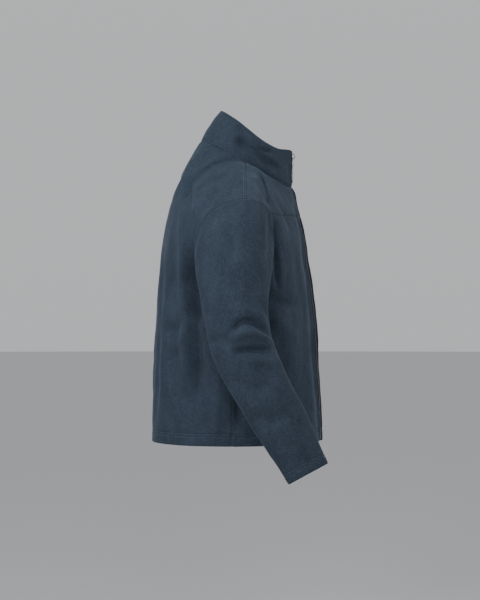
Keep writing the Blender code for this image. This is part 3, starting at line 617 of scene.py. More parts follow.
def section_points(angle, s):
    """Sleeve tube at s (0 upper arm, 1 cuff); angle 0 faces out, 90 degrees forward."""
    table = np.array(SLEEVE_SECTIONS)
    keys = np.concatenate([[0], np.cumsum(np.linalg.norm(np.diff(table[:, :3], axis=0), axis=1))])
    read = smooth(keys / keys[-1], table, s)
    centre = read[..., :3]
    lean, splay = np.radians(read[..., 3]), np.radians(read[..., 4])
    axis = unit(points_of(np.tan(splay), -np.tan(lean), -np.ones_like(lean)))
    forward = unit(np.array([0.0, -1.0, 0.0]) + axis * axis[..., 1:2])
    outward = np.cross(axis, forward)
    outward = outward * np.sign(outward[..., :1])
    half_front, half_side = read[..., 5:6], read[..., 6:7]
    around = half_side * np.cos(angle)[..., None] * outward + half_front * np.sin(angle)[..., None] * forward
    return centre + around, axis


# ---- fine grids ----

def run_from(grid, axis, backwards=False):
    """Distance of each point from the grid's first (or last) line along an axis."""
    if backwards:
        return np.flip(run_from(np.flip(grid, axis), axis), axis)
    step = np.linalg.norm(np.diff(grid, axis=axis), axis=-1)
    zero = np.zeros_like(np.take(step, [0], axis=axis))
    return np.concatenate([zero, np.cumsum(step, axis=axis)], axis=axis)


def filled(total, start_offsets, end_offsets, count):
    """Distances from 0 to total: the given offsets at each end, and count even ones from one to the other."""
    even = np.linspace(start_offsets[-1], total - end_offsets[-1], count)
    return np.concatenate([start_offsets[:-1], even, total - np.array(end_offsets[:-1])[::-1]])


def stretch(total, start_offsets, end_offsets, cell=CELL):
    """The same, with the even distances about a cell apart."""
    cells = round((total - end_offsets[-1] - start_offsets[-1]) / cell)
    return filled(total, start_offsets, end_offsets, max(cells, 1) + 1)


def spaced(surface, level, t_from, t_to, start_offsets, end_offsets, count):
    """The t of count columns at each level, spaced along the row by true distance."""
    t = t_from[:, None] + (t_to - t_from[:, None]) * np.linspace(0, 1, DENSE)
    run = run_from(surface(t, level[:, None]), 1)
    return np.array(
        [
            np.interp(filled(row_run[-1], start_offsets, end_offsets, count), row_run, row_t)
            for row_t, row_run in zip(t, run)
        ]
    )


def zip_edge_t(side, level):
    """The t at which the front surface passes the zip's edge, at each level."""
    dense = np.linspace(0, NECK_SHARE, DENSE)
    points = front_points(side, dense[None, :], level[:, None])
    away = np.abs(points[..., 0] - ZIP_CENTRE_X)
    return np.array([np.interp(ZIP_HALF_GAP, row, dense) for row in away])


def lower_levels(top_offsets):
    """Levels from the hem to the chest seam, with one exactly at the underarm."""
    hem_to_arm = stretch(UNDERARM_Z - HEM_Z, EDGE_OFFSETS, PLAIN_END)
    arm_to_chest = stretch(CHEST_Z - UNDERARM_Z, PLAIN_END, top_offsets) + UNDERARM_Z - HEM_Z
    return np.concatenate([hem_to_arm, arm_to_chest[1:]]) / LOWER_HEIGHT


def upper_levels(bottom_offsets, height):
    """Levels from the chest seam up to a top edge that lies about a height above it."""
    return 1 + stretch(height, bottom_offsets, SEAM_OFFSETS) / height


def eased(grid):
    """The grid with the bend at the underarm's level smoothed out, away from its side edges."""
    run = run_from(grid, 1)
    inward = np.clip(np.minimum(run, run[:, -1:] - run) / EASE_INSET, 0, 1)
    near = np.exp(-(((grid[..., 2] - UNDERARM_Z) / EASE_HEIGHT) ** 2))
    share = (inward**2 * (3 - 2 * inward) * near)[1:-1, :, None]
    grid = grid.copy()
    for _ in range(EASE_ROUNDS):
        grid[1:-1] += 0.5 * share * ((grid[:-2] + grid[2:]) / 2 - grid[1:-1])
    return grid


def front_grid(side, levels):
    """A front or yoke. Columns run from the zip's edge to the side seam and the armhole."""
    start = zip_edge_t(side, levels)
    surface = lambda t, level: front_points(side, t, level)
    to_neck = spaced(surface, levels, start, NECK_SHARE, SEAM_OFFSETS, PLAIN_END, NECK_COLUMNS)
    onward = spaced(surface, levels, 0 * start + NECK_SHARE, 1.0, PLAIN_END, SEAM_OFFSETS, FRONT_COLUMNS)
    t = np.hstack([to_neck, onward[:, 1:]])
    return eased(surface(t, levels[:, None]))


def back_grid():
    """The back. Columns run from the left side seam over the middle to the right one."""
    levels = np.concatenate([lower_levels(PLAIN_END), upper_levels(PLAIN_END, BACK_TOP_HEIGHT)[1:]])
    centre = np.zeros(len(levels))
    to_neck = spaced(back_points, levels, centre, NECK_SHARE, PLAIN_END, PLAIN_END, NECK_COLUMNS)
    onward = spaced(back_points, levels, centre + NECK_SHARE, 1.0, PLAIN_END, SEAM_OFFSETS, SHOULDER_COLUMNS)
    half = back_points(np.hstack([to_neck, onward[:, 1:]]), levels[:, None])
    return eased(np.hstack([half[:, ::-1], (half * np.array([-1.0, 1.0, 1.0]))[:, 1:]]))


def armhole_loop():
    """Armhole, from the shoulder end down the front to the underarm, and up the back.

    Each entry holds a point a little way in from the panel's edge, then the edge point.
    """
    reach = np.array([JUST_INSIDE, 1.0])
    drop = (np.linspace(CHEST_Z, UNDERARM_Z, FRONT_POINTS) - HEM_Z) / LOWER_HEIGHT
    levels = np.concatenate([np.linspace(2, 1, YOKE_POINTS)[:-1], drop])
    down = np.array([front_points(1, reach, level) for level in levels])
    rise = np.concatenate([drop[::-1][1:-1], np.linspace(1, 2, BACK_POINTS)])
    up = np.array([back_points(reach, level) for level in rise])
    return down, up


def rounded_off(grid):
    """The sleeve's grid with the dents of its cap smoothed out round it, away from the armhole."""
    inward = np.clip(run_from(grid, 0, False) / CAP_EASE, 0, 1)
    share = (0.5 * inward**2 * (3 - 2 * inward))[..., None]
    for _ in range(CAP_ROUNDS):
        grid = grid + share * ((np.roll(grid, 1, axis=1) + np.roll(grid, -1, axis=1)) / 2 - grid)
    return grid


def sleeve_grid():
    """Rows round the sleeve, from the armhole to the cuff, for the wearer's left arm."""
    down, up = armhole_loop()
    loop = np.concatenate([down, up[:-1]])
    halves = (down[:, 1], np.vstack([down[-1:, 1], up[:, 1]]))
    lengths = [np.linalg.norm(np.diff(part, axis=0), axis=1) for part in halves]
    around = [math.pi * np.cumsum(part) / part.sum() for part in lengths]
    angle = np.concatenate([[0.0], around[0], math.pi + around[1][:-1]])
    top, front, under, behind = np.array(SLEEVE_HEADINGS)
    cos, sin, cos_twice = (f[:, None] for f in (np.cos(angle), np.sin(angle), np.cos(2 * angle)))
    drawn = (top + front + under + behind) / 4 + (top - under) / 2 * cos
    drawn = unit(drawn + (front - behind) / 2 * sin + (top + under - front - behind) / 4 * cos_twice)
    edge = loop[:, 1]
    along = unit(np.roll(edge, -1, axis=0) - np.roll(edge, 1, axis=0))
    onward = edge - loop[:, 0]
    onward = unit(onward - (onward * along).sum(axis=-1, keepdims=True) * along)
    flow = np.clip(CAP_FLOW * cos, 0, 1)
    heading = unit(flow * onward + (1 - flow) * drawn)
    end, axis = section_points(angle, np.zeros_like(angle))
    cap = stretch(CAP_LENGTH, SEAM_OFFSETS, PLAIN_END, CAP_CELL) / CAP_LENGTH
    tube = stretch(TUBE_LENGTH, PLAIN_END, CUFF_OFFSETS, TUBE_CELL) / TUBE_LENGTH
    rows = [join(edge, heading, end, axis, v) for v in cap]
    rows += [section_points(angle, s + 0 * angle)[0] for s in tube[1:]]
    return rounded_off(np.array(rows))


def collar_grid():
    """The collar, from the right zip edge round the neck to the left one, its front corners rounded."""
    rise = stretch(COLLAR_HEIGHT, SEAM_OFFSETS[:9], COLLAR_EDGE_OFFSETS, COLLAR_CELL) / COLLAR_HEIGHT
    halves = []
    for side in (-1, 1):
        def surface(t, level):
            return with_ridge(collar_base(t / NECK_SHARE * math.pi / 2, level - 2 + 0 * t), side, NECK_RIDGE)

        start = zip_edge_t(side, 2 + rise)
        t = spaced(surface, 2 + rise, start, 2 * NECK_SHARE, SEAM_OFFSETS, PLAIN_END, COLLAR_COLUMNS)
        inside = np.clip(CORNER_RADIUS - run_from(surface(t[-1:], 3 + 0 * t[-1:]), 1), 0, CORNER_RADIUS)
        drop = (CORNER_RADIUS - np.sqrt(CORNER_RADIUS**2 - inside**2)) / COLLAR_HEIGHT
        halves.append(surface(t, 2 + rise[:, None] * (1 - drop)))
    return np.hstack([halves[0][:, :-1], halves[1][:, ::-1]])


# ---- folds and unevenness ----

def facing(grid, closed=False):
    """Unit normals that look away from the sleeve's or the jacket's middle, and the grid's sense, 1 or -1."""
    if closed:
        across = np.roll(grid, -1, axis=1) - np.roll(grid, 1, axis=1)
        middle = grid.mean(axis=1, keepdims=True)
    else:
        across = unit(np.gradient(grid, axis=1))
        middle = grid * np.array([0.0, 0.0, 1.0])
    normals = unit(np.cross(unit(across), unit(np.gradient(grid, axis=0))))
    sense = 1 if np.median(((grid - middle) * normals).sum(axis=-1)) > 0 else -1
    return sense * normals, sense


def held_points():
    """Finely spaced points on the left armhole and on the left half of the neckline."""
    rise = np.linspace((UNDERARM_Z - HEM_Z) / LOWER_HEIGHT, 2, HELD_EDGE_POINTS)
    neck = neckline(np.linspace(0, math.pi, HELD_NECK_POINTS))
    points = np.vstack([front_points(1, 1.0, rise), back_points(1.0, rise), neck])
    tree = KDTree(len(points))
    for index, point in enumerate(points):
        tree.insert(point, index)
    tree.balance()
    return tree


HELD = held_points()


def held_share(grid, reach=HELD_REACH):
    """0 on the armhole and the neckline, where panels meet, rising to 1 a little way from them."""
    folded = grid.reshape(-1, 3).copy()
    folded[:, 0] = np.abs(folded[:, 0])
    apart = np.array([HELD.find(point)[2] for point in folded]).reshape(grid.shape[:2])
    share = np.clip(apart / reach, 0, 1)
    return share**2 * (3 - 2 * share)


def beside(fold, seen):
    """How strong a fold is at each seen point: 1 on its curve, and less away from it and towards its ends."""
    t = np.linspace(0, 1, FOLD_STEPS + 1)[:, None]
    start, middle, end = (np.array(point) for point in fold[:3])
    width = fold[3]
    path = (1 - t) ** 2 * start + 2 * t * (1 - t) * (2 * middle - (start + end) / 2) + t**2 * end
    nearest = np.full(seen.shape[:-1], math.inf)
    place = np.zeros(seen.shape[:-1])
    for index in range(FOLD_STEPS):
        run = path[index + 1] - path[index]
        along = np.clip(((seen - path[index]) @ run) / (run @ run), 0, 1)
        away = np.linalg.norm(seen - path[index] - along[..., None] * run, axis=-1)
        closer = away < nearest
        nearest = np.where(closer, away, nearest)
        place = np.where(closer, (index + along) / FOLD_STEPS, place)
    ends = np.clip(np.minimum(place, 1 - place) / FOLD_TAPER, 0, 1)
    return np.exp(-((nearest / width) ** 2)) * ends**2 * (3 - 2 * ends)


def pinched(grid, piece):
    """The grid with the creases across the armhole pressed in, towards the jacket's middle."""
    inner, outer = PINCH_X
    reach = np.clip((np.abs(grid[..., 0]) - inner) / (outer - inner), 0, 1)
    if piece == "sleeve":
        reach = reach * (1 - held_share(grid, SLEEVE_PINCH))
    depth = np.max([pinch[-1] * beside(pinch, grid[..., 1:]) for pinch in PINCHES], axis=0) * reach
    moved = grid.copy()
    moved[..., 0] -= np.sign(grid[..., 0]) * depth
    return moved


def fold_height(grid, normals, piece):
    """How far the piece's folds move each point of a grid along its normal."""
    height = np.zeros(grid.shape[:2])
    for (owner, view, half), folds in FOLDS.items():
        if owner != piece:
            continue
        if view == "side":
            seen, facing_view = grid[..., 1:], np.abs(normals[..., 0])
        else:
            seen = np.stack([np.abs(grid[..., 0]), grid[..., 2]], axis=-1)
            facing_view = np.clip(normals[..., 1] * (1 if view == "back" else -1), 0, 1)
        here = np.clip(2 * facing_view, 0, 1)
        if half:
            here = here * np.clip(0.5 + grid[..., 0] * half / CENTRE_FADE, 0, 1)
        for fold in folds:
            height += fold[-1] * beside(fold, seen) * here
    return height


def wave_height(grid):
    """Slow seeded unevenness, the same wherever two panels meet."""
    flat = grid.reshape(-1, 3)
    height = np.zeros(len(flat))
    for wave in WAVES:
        shift = Vector((wave.seed, 2.3 * wave.seed, -wave.seed))
        stretched = flat * WAVE_STRETCH / wave.length
        height += wave.height * np.array([noise.noise(Vector(point) + shift) for point in stretched])
    return height.reshape(grid.shape[:2])


def crumpled(grid, piece, closed=False):
    """The grid with its folds and unevenness, and its new normals and sense."""
    if piece != "collar":
        grid = pinched(grid, piece)
    normals, sense = facing(grid, closed)
    height = (fold_height(grid, normals, piece) + wave_height(grid)) * held_share(grid)
    grid = grid + height[..., None] * normals
    return grid, facing(grid, closed)[0], sense


# ---- panels with thickness ----

def dip(distance, places):
    """Depth of the troughs along a border: the seam's own, and one under each row of stitches."""
    depth = 0 * distance
    for place in places:
        size, width = (SEAM_DIP, SEAM_DIP_WIDTH) if place == 0 else (STITCH_DIP, STITCH_DIP_WIDTH)
        depth = depth + size * np.exp(-(((distance - place) / width) ** 2))
    return depth


class Panel:
    """A fine grid of cloth with its normals, thickness, borders and rows of stitches."""

    def __init__(self, name, grid, normals, sense, wall, closed=False):
        self.name, self.closed = name, closed
        self.grid, self.normals, self.sense = grid, normals, sense
        self.thickness = np.full(grid.shape[:2], wall)
        self.lines = []

    def distance(self, border):
        """Distance of each point from a border, along its row or column."""
        axis = 0 if border in ("bottom", "top") else 1
        return run_from(self.grid, axis, border in ("top", "right"))

    def seam(self, border, rows=(), mask=None):
        """A seam along a border: the cloth dips into it and under each row of stitches."""
        distance = self.distance(border)
        depth = dip(distance, (0,) + tuple(rows))
        if mask is not None:
            depth = depth * mask
        self.lines.append((border, rows, mask, distance, depth))

    def turned(self, border, depth, extra, rows, swell=HEM_SWELL):
        """An edge turned in and stitched down: the cloth is double there, and swells a little outwards."""
        distance = self.distance(border)
        band = np.clip((depth + TURN_STEP - distance) / TURN_STEP, 0, 1)
        self.thickness = self.thickness + extra * band
        raised = swell * np.clip(distance / SWELL_REACH, 0, 1) * band
        self.lines.append((border, rows, None, distance, dip(distance, rows) - raised))

    def settle(self):
        """Presses in the seams and grooves, once all of them are known."""
        depth = sum((line[4] for line in self.lines), 0 * self.thickness)
        self.grid = self.grid - depth[..., None] * self.normals
        self.thickness = np.maximum(self.thickness - np.maximum(depth, 0), THINNEST)
        self.normals, _ = facing(self.grid, self.closed)

    def stitch_paths(self):
        """Each row of stitches as points on the cloth, with the cloth's normals there."""
        paths = []
        for border, rows, mask, distance, _ in self.lines:
            level = border in ("bottom", "top")
            wanted = np.ones_like(distance) if mask is None else mask
            tables = (distance, self.grid, self.normals, wanted)
            columns = list(zip(*(np.swapaxes(table, 0, 1) if level else table for table in tables)))
            for row in rows:
                path = []
                for run, line, looks, sewn in columns + columns[:1] * (self.closed and level):
                    if sewn.max() < 0.5:
                        paths.append(path)
                        path = []
                        continue
                    order = np.argsort(run)
                    here = np.hstack([line, looks])[order]
                    path.append([np.interp(row, run[order], values) for values in here.T])
                paths.append(path)
        kept = [np.array(path) for path in paths if len(path) > 3]
        return [(path[:, :3], unit(path[:, 3:])) for path in kept]

    def outward(self, row, column, rounded):
        """Direction out past the cloth's edge at a border point, over the rounded borders that it lies on."""
        rows, columns = self.grid.shape[:2]
        neighbours = {
            "bottom": (row == 0, (row + 1, column)),
            "top": (row == rows - 1, (row - 1, column)),
            "left": (column == 0, (row, 1)),
            "right": (column == columns - 1, (row, columns - 2)),
        }
        inner = [place for name, (on_border, place) in neighbours.items() if on_border and name in rounded]
        return unit(sum(unit(self.grid[row, column] - self.grid[place]) for place in inner))

    def mesh(self, rounded):
        """A closed mesh: outer and inner faces, with the named borders rounded and the rest cut square."""
        outer, looks = self.grid, self.normals
        inner = outer - self.thickness[..., None] * looks
        rows, columns = outer.shape[:2]
        verts = [tuple(point) for point in np.vstack([outer.reshape(-1, 3), inner.reshape(-1, 3)])]
        count = rows * columns
        faces = []
        for row in range(rows - 1):
            for column in range(columns if self.closed else columns - 1):
                after = (column + 1) % columns
                a, b = row * columns + column, row * columns + after
                c, d = (row + 1) * columns + after, (row + 1) * columns + column
                faces.append((a, b, c, d)[:: self.sense])
                faces.append((a + count, d + count, c + count, b + count)[:: self.sense])
        borders = {
            "bottom": ([(0, c) for c in range(columns)], 1),
            "top": ([(rows - 1, c) for c in range(columns)], -1),
        }
        if not self.closed:
            borders["left"] = ([(r, 0) for r in range(rows)], -1)
            borders["right"] = ([(r, columns - 1) for r in range(rows)], 1)
        # one ring of rim vertices for each border vertex keeps neighbouring borders joined at the corners
        rim = {}
        for name in (name for name in borders if name in rounded):
            for place in borders[name][0]:
                if place in rim:
                    continue
                out, look, half = self.outward(*place, rounded), looks[place], self.thickness[place] / 2
                middle = outer[place] - half * look
                rim[place] = list(range(len(verts), len(verts) + RIM_STEPS - 1))
                for k in range(1, RIM_STEPS):
                    turn = math.pi * k / RIM_STEPS
                    verts.append(tuple(middle + half * (math.cos(turn) * look + math.sin(turn) * out)))
        for name, (line, way) in borders.items():
            rings = []
            for row, column in line:
                vertex = row * columns + column
                between = rim[row, column] if name in rounded else []
                rings.append([vertex] + between + [vertex + count])
            for ring_a, ring_b in zip(rings, rings[1:] + rings[:1] * self.closed):
                for k in range(len(ring_a) - 1):
                    face = (ring_a[k], ring_a[k + 1], ring_b[k + 1], ring_b[k])
                    faces.append(face[:: self.sense * way])
        mesh = bpy.data.meshes.new(self.name)
        mesh.from_pydata(verts, [], faces)
        mesh.validate()
        mesh.update()
        mesh.shade_smooth()
        return mesh


def sewn_panel(name, grid, piece, wall=CLOTH):
    """A folded panel from its plain grid. Only a sleeve closes round."""
    closed = piece == "sleeve"
    return Panel(name, *crumpled(grid, piece, closed), wall, closed)


def meet(*seam):
    """Brings the borders of two panels together halfway, and the cloth near them along.

    The seam is two of (panel, border, span), where the span says which points of the border take part.
    """
    lines = {"bottom": (0,), "top": (-1,), "left": (slice(None), 0), "right": (slice(None), -1)}
    ends = [panel.grid[lines[border]][span] for panel, border, span in seam]
    middle = sum(ends) / 2
    for (panel, border, span), own in zip(seam, ends):
        near = np.clip(1 - panel.distance(border) / MEET_REACH, 0, 1) ** 2
        shift = middle - own
        if border in ("bottom", "top"):
            panel.grid[:, span] += near[:, span, None] * shift[None]
        else:
            panel.grid[span] += near[span, :, None] * shift[:, None]
        panel.normals, _ = facing(panel.grid, panel.closed)


def dense_line(points):
    """The line's points with nineteen more between each two."""
    places = np.arange(0, len(points) - 1, 1 / 20)
    return np.array([np.interp(places, np.arange(len(points)), points[:, axis]) for axis in range(3)]).T


def close_armhole(sleeve, borders):
    """Brings the sleeve's first row onto the borders of the body's panels, and the cloth near it along."""
    line = np.vstack([dense_line(border) for border in borders])
    nearest = np.array([line[np.argmin(((line - point) ** 2).sum(axis=1))] for point in sleeve.grid[0]])
    near = np.clip(1 - sleeve.distance("bottom") / ARMHOLE_REACH, 0, 1) ** 2
    sleeve.grid = sleeve.grid + near[..., None] * (nearest - sleeve.grid[0])[None]
    sleeve.normals, _ = facing(sleeve.grid, sleeve.closed)


# ---- zip: tapes, coil, slider and pull ----

CENTRE_POINTS = 120
# rows of the tapes along the fronts, the yokes and the collar
TAPE_ROWS = (124, 20, 24)
TAPE_PLACES = (-0.0125, -0.0112, -0.0095, -0.0075, -0.0055, -0.0038, -0.0026, -0.0016, -0.0008, 0.0)
# how far each tape's inner edge stands back from the middle, where the zip is closed
CLOSED_SPREAD = 0.0003


def centre_line(level):
    """Front surface across the zip at a level, from the right half to the left, in order of x."""
    dense = np.linspace(0, NECK_SHARE, CENTRE_POINTS)
    return np.vstack([front_points(-1, dense[:0:-1], level), front_points(1, dense, level)])


def collar_level(z):
    """Level at which the collar's centre front passes a height."""
    levels = np.linspace(2, 3, DENSE)
    return np.interp(z, front_points(1, 0 * levels, levels)[:, 2], levels)


def tape_depth(level):
    """How far the tapes' front lies behind the outside of the cloth that they are sewn to."""
    return CLOTH + (COLLAR_WALL - CLOTH) * np.clip(level - 1, 0, 1) + TAPE_CLEARANCE


def zip_surface():
    """Front of both tapes as one grid, its levels and its normals; columns run from the right to the left."""
    ends = (0, 1, 2, float(collar_level(ZIP_TOP_Z)))
    parts = [np.linspace(*span) for span in zip(ends, ends[1:], TAPE_ROWS)]
    levels = np.concatenate([parts[0][:-1], parts[1][:-1], parts[2]])
    places = ZIP_CENTRE_X + np.array(TAPE_PLACES + tuple(-x for x in TAPE_PLACES[-2::-1]))
    rows = []
    for level in levels:
        line = centre_line(level)
        rows.append(points_of(places, *(np.interp(places, line[:, 0], line[:, i]) for i in (1, 2))))
    grid = np.array(rows)
    normals, _ = facing(grid)
    return grid - tape_depth(levels)[:, None, None] * normals, normals


def tapes():
    """The two tapes, and the line of the coil between them with its normals."""
    grid, normals = zip_surface()
    middle = len(TAPE_PLACES) - 1
    made = []
    for word, span, edge, beside_edge in (
        ("right", slice(middle + 1), -1, -2),
        ("left", slice(middle, None), 0, 1),
    ):
        part = grid[:, span].copy()
        apart = np.where(part[:, edge, 2] > TEETH_TOP_Z + 0.001, TAPE_SPREAD, CLOSED_SPREAD)[:, None]
        part[:, edge] += apart * unit(part[:, beside_edge] - part[:, edge])
        made.append(Panel("tape_" + word, part, normals[:, span], facing(part)[1], TAPE))
    return made, grid[:, middle], normals[:, middle]


# a direction that no straight bar here runs along
OBLIQUE = np.array([0.31, 0.17, 0.93])


def tube(path, radii, sides, flat=1.0, across=None):
    """Vertices and faces of a closed round bar along a path; flat squeezes it along its second axis."""
    path = np.array(path, float)
    run = unit(np.gradient(path, axis=0))
    side = unit(np.cross(run, OBLIQUE if across is None else across))
    up = np.cross(side, run)
    turn = 2 * math.pi * np.arange(sides) / sides
    radii = np.broadcast_to(np.asarray(radii, float), (len(path),))
    rings = path[:, None] + radii[:, None, None] * (
        np.cos(turn)[None, :, None] * side[:, None] + flat * np.sin(turn)[None, :, None] * up[:, None]
    )
    faces = []
    for ring in range(len(path) - 1):
        for k in range(sides):
            a, b = ring * sides + k, ring * sides + (k + 1) % sides
            faces.append((a, b, b + sides, a + sides))
    last = (len(path) - 1) * sides
    faces.append(tuple(range(sides))[::-1])
    faces.append(tuple(last + k for k in range(sides)))
    return rings.reshape(-1, 3), faces


def gather(pieces):
    """Joins (vertices, faces) pairs into one pair."""
    verts, faces, start = [], [], 0
    for own_verts, own_faces in pieces:
        verts.append(np.asarray(own_verts))
        faces += [tuple(index + start for index in face) for face in own_faces]
        start += len(own_verts)
    return np.vstack(verts), faces


def add_mesh(name, verts, faces, look, body, slot, smooth_angle=None):
    """A hard or thread piece as an object that rides on a body."""
    mesh = bpy.data.meshes.new(name)
    mesh.from_pydata([tuple(v) for v in verts], [], faces)
    shape = bmesh.new()
    shape.from_mesh(mesh)
    bmesh.ops.recalc_face_normals(shape, faces=shape.faces)
    shape.to_mesh(mesh)
    shape.free()
    mesh.shade_smooth()
    if smooth_angle is not None:
        mesh.set_sharp_from_angle(angle=math.radians(smooth_angle))
    mesh.materials.append(look)
    made = bpy.data.objects.new(name, mesh)
    bpy.context.scene.collection.objects.link(made)
    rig.ride(made, body)
    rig.slot(made, slot)
    return made


def add_panel(panel, rounded, look, slot, node):
    """A panel as an object that rides on the jacket and replaces its solid."""
    made = bpy.data.objects.new(panel.name, panel.mesh(rounded))
    made.data.materials.append(look)
    bpy.context.scene.collection.objects.link(made)
    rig.ride(made, JACKET)
    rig.slot(made, slot)
    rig.replaces(made, node)
    return made


Cut = namedtuple("Cut", "width length area hangs_from")
CUTS = {
    "front_right": Cut(0.302, 0.521, 0.133, ("yoke_right_cloth",)),
    "front_left": Cut(0.304, 0.521, 0.135, ("yoke_left_cloth",)),
    "front_yoke_right": Cut(0.334, 0.158, 0.026, ("back_cloth",)),
    "front_yoke_left": Cut(0.338, 0.158, 0.026, ("back_cloth",)),
    "back": Cut(0.690, 0.708, 0.375, ()),
    "sleeve_right": Cut(0.584, 0.622, 0.198, ("back_cloth", "yoke_right_cloth")),
    "sleeve_left": Cut(0.584, 0.622, 0.198, ("back_cloth", "yoke_left_cloth")),
    "collar": Cut(0.573, 0.081, 0.038, ("back_cloth",)),
    "zip_tape_right": Cut(0.0122, 0.660, 0.0080, ("front_right_cloth", "yoke_right_cloth")),
    "zip_tape_left": Cut(0.0122, 0.660, 0.0080, ("front_left_cloth", "yoke_left_cloth")),
}


def declare_sheets(made, threads):
    """States the cut of every cloth piece; the stitches of a group go with its first piece."""
    for node, piece in made.items():
        cut = CUTS[node]
        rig.sheet(
            piece, flat=(cut.width, cut.length), held="hung", rests_on=cut.hangs_from, area=cut.area,
            with_pieces=threads.get(node, ()),
        )


def read_along(places, run, points):
    """Points of a line at the given distances along it."""
    return points_of(*(np.interp(places, run, points[:, i]) for i in range(3)))


def stitches(paths):
    """Short sunk bars of thread along each path."""
    pieces = []
    for points, looks in paths:
        run = run_from(points[None], 1)[0]
        count = int(run[-1] / STITCH_PITCH)
        if count < 2:
            continue
        middles = (np.arange(count) + 0.5) * run[-1] / count
        for middle in middles:
            line = read_along(middle + STITCH_LENGTH * STITCH_BAR, run, points)
            look = unit(read_along(middle, run, looks))
            line = line + STITCH_RADIUS * STITCH_LIFT[:, None] * look
            pieces.append(tube(line, STITCH_RADIUS * STITCH_TAPER, 5, across=look))
    return gather(pieces)


COIL_PITCH = 0.00135
COIL_RADIUS = 0.00042
COIL_REACH = 0.0030
COIL_START = 0.008
COIL_BELOW_SLIDER = 0.004
# one tooth: places across the zip in reaches, height above the tape, and thickness in radii
TOOTH_ACROSS = COIL_REACH * np.array([1.0, 0.72, 0.25, -0.10, -0.26])
TOOTH_HEIGHT = np.array([0.0002, 0.0008, 0.0011, 0.0009, 0.0004])
TOOTH_RADII = COIL_RADIUS * np.array([0.8, 1, 1, 1.15, 0.9])


def coil(line, looks):
    """Two rows of coil teeth that cross the zip's centre in turn, from the hem to the slider."""
    run = run_from(line[None], 1)[0]
    top = np.interp(SLIDER_Z - COIL_BELOW_SLIDER, line[:, 2], run)
    pieces = []
    for index, place in enumerate(np.arange(COIL_START, top, COIL_PITCH / 2)):
        side = 1 if index % 2 else -1
        point = read_along(place, run, line)
        look = unit(read_along(place, run, looks))
        up = unit(read_along(place + 0.001, run, line) - point)
        across = np.cross(up, look) * side
        if across[0] * side < 0:
            across = -across
        path = point + TOOTH_ACROSS[:, None] * across + TOOTH_HEIGHT[:, None] * look
        pieces.append(tube(path, TOOTH_RADII, 6, across=look))
    return gather(pieces)


def frame_matrix(place, across):
    """Frame with X across the zip, Y into the jacket and Z up."""
    across = Vector((across[0], across[1], 0.0)).normalized()
    made = Matrix.Identity(4)
    made.col[0][:3] = across
    made.col[1][:3] = (-across.y, across.x, 0.0)
    made.col[3][:3] = place
    return made


def outline_plate(outline, front, rear, bevel):
    """A plate with an outline in X and Z between two depths, its edges rounded."""
    shape = bmesh.new()
    verts = [shape.verts.new((x, front, z)) for x, z in outline]
    face = shape.faces.new(verts)
    grown = bmesh.ops.extrude_face_region(shape, geom=[face])
    bmesh.ops.translate(
        shape, verts=[v for v in grown["geom"] if isinstance(v, bmesh.types.BMVert)], vec=(0, rear - front, 0)
    )
    bmesh.ops.recalc_face_normals(shape, faces=shape.faces)
    flat = [edge for edge in shape.edges if abs(edge.verts[0].co.y - edge.verts[1].co.y) < 1e-7]
    bmesh.ops.bevel(shape, geom=flat, offset=bevel, segments=3, profile=0.5, affect="EDGES")
    verts = [tuple(v.co) for v in shape.verts]
    faces = [tuple(v.index for v in f.verts) for f in shape.faces]
    shape.free()
    return np.array(verts), faces


def rounded_outline(points, radius, count=5):
    """The polygon with each corner turned into a short arc."""
    points = [Vector(p) for p in points]
    made = []
    for index, corner in enumerate(points):
        before, after = points[index - 1], points[(index + 1) % len(points)]
        reach = min(radius, (before - corner).length / 2, (after - corner).length / 2)
        start = corner + (before - corner).normalized() * reach
        end = corner + (after - corner).normalized() * reach
        for k in range(count + 1):
            t = k / count
            made.append((1 - t) ** 2 * start + 2 * t * (1 - t) * corner + t**2 * end)
    return [tuple(p) for p in made]


def placed(verts, matrix):
    """The vertices moved by a matrix."""
    return np.array([tuple(matrix @ Vector(v)) for v in verts])


# Outlines in X and Z and paths in X, Y and Z, in the frames of the slider, the hinge and the bottom box
SHIELD = (
    (-0.0042, 0.0074), (-0.0026, 0.0078), (0.0026, 0.0078), (0.0042, 0.0074),
    (0.0038, -0.0005), (0.0029, -0.0072), (-0.0029, -0.0072), (-0.0038, -0.0005),
)
CROWN_ARCH = (
    (0, -0.0012, 0.0062), (0, -0.0040, 0.0068), (0, -0.0072, 0.0062),
    (0, -0.0097, 0.0040), (0, -0.0108, 0.0006), (0, -0.0102, -0.0026),
    (0, -0.0078, -0.0042), (0, -0.0045, -0.0047), (0, -0.0012, -0.0050),
)
WEDGE = ((-0.0011, 0.0072), (0.0011, 0.0072), (0.0009, 0.0040), (-0.0009, 0.0040))
SLIDER_RIM = np.array([(0.0039, -0.0006, 0.0060), (0.0036, -0.0004, 0.0), (0.0028, -0.0004, -0.0066)])
PULL_LOOP = (
    (-0.0019, 0, 0.0002), (-0.0019, 0, -0.0040), (-0.0017, 0, -0.0082), (0, 0, -0.0096),
    (0.0017, 0, -0.0082), (0.0019, 0, -0.0040), (0.0019, 0, 0.0002),
)
PULL_HEAD = (
    (-0.0022, -0.0076), (0.0022, -0.0076), (0.0027, -0.0100),
    (0.0027, -0.0200), (-0.0027, -0.0200), (-0.0027, -0.0100),
)
PULL_BLADE = (
    (-0.0021, -0.0185), (0.0021, -0.0185), (0.0026, -0.0240), (0.0027, -0.0480),
    (0.0017, -0.0566), (-0.0017, -0.0566), (-0.0027, -0.0480), (-0.0026, -0.0240),
)
BOX_OUTLINE = ((-0.0035, -0.0050), (0.0035, -0.0050), (0.0035, 0.0050), (-0.0035, 0.0050))
BOX_PLACE = (0.0001, -0.1669, -0.6030)
SLIDER_BEHIND_HINGE = 0.0054
SLIDER_ABOVE_HINGE = 0.0013
SHARP_ANGLE = 35
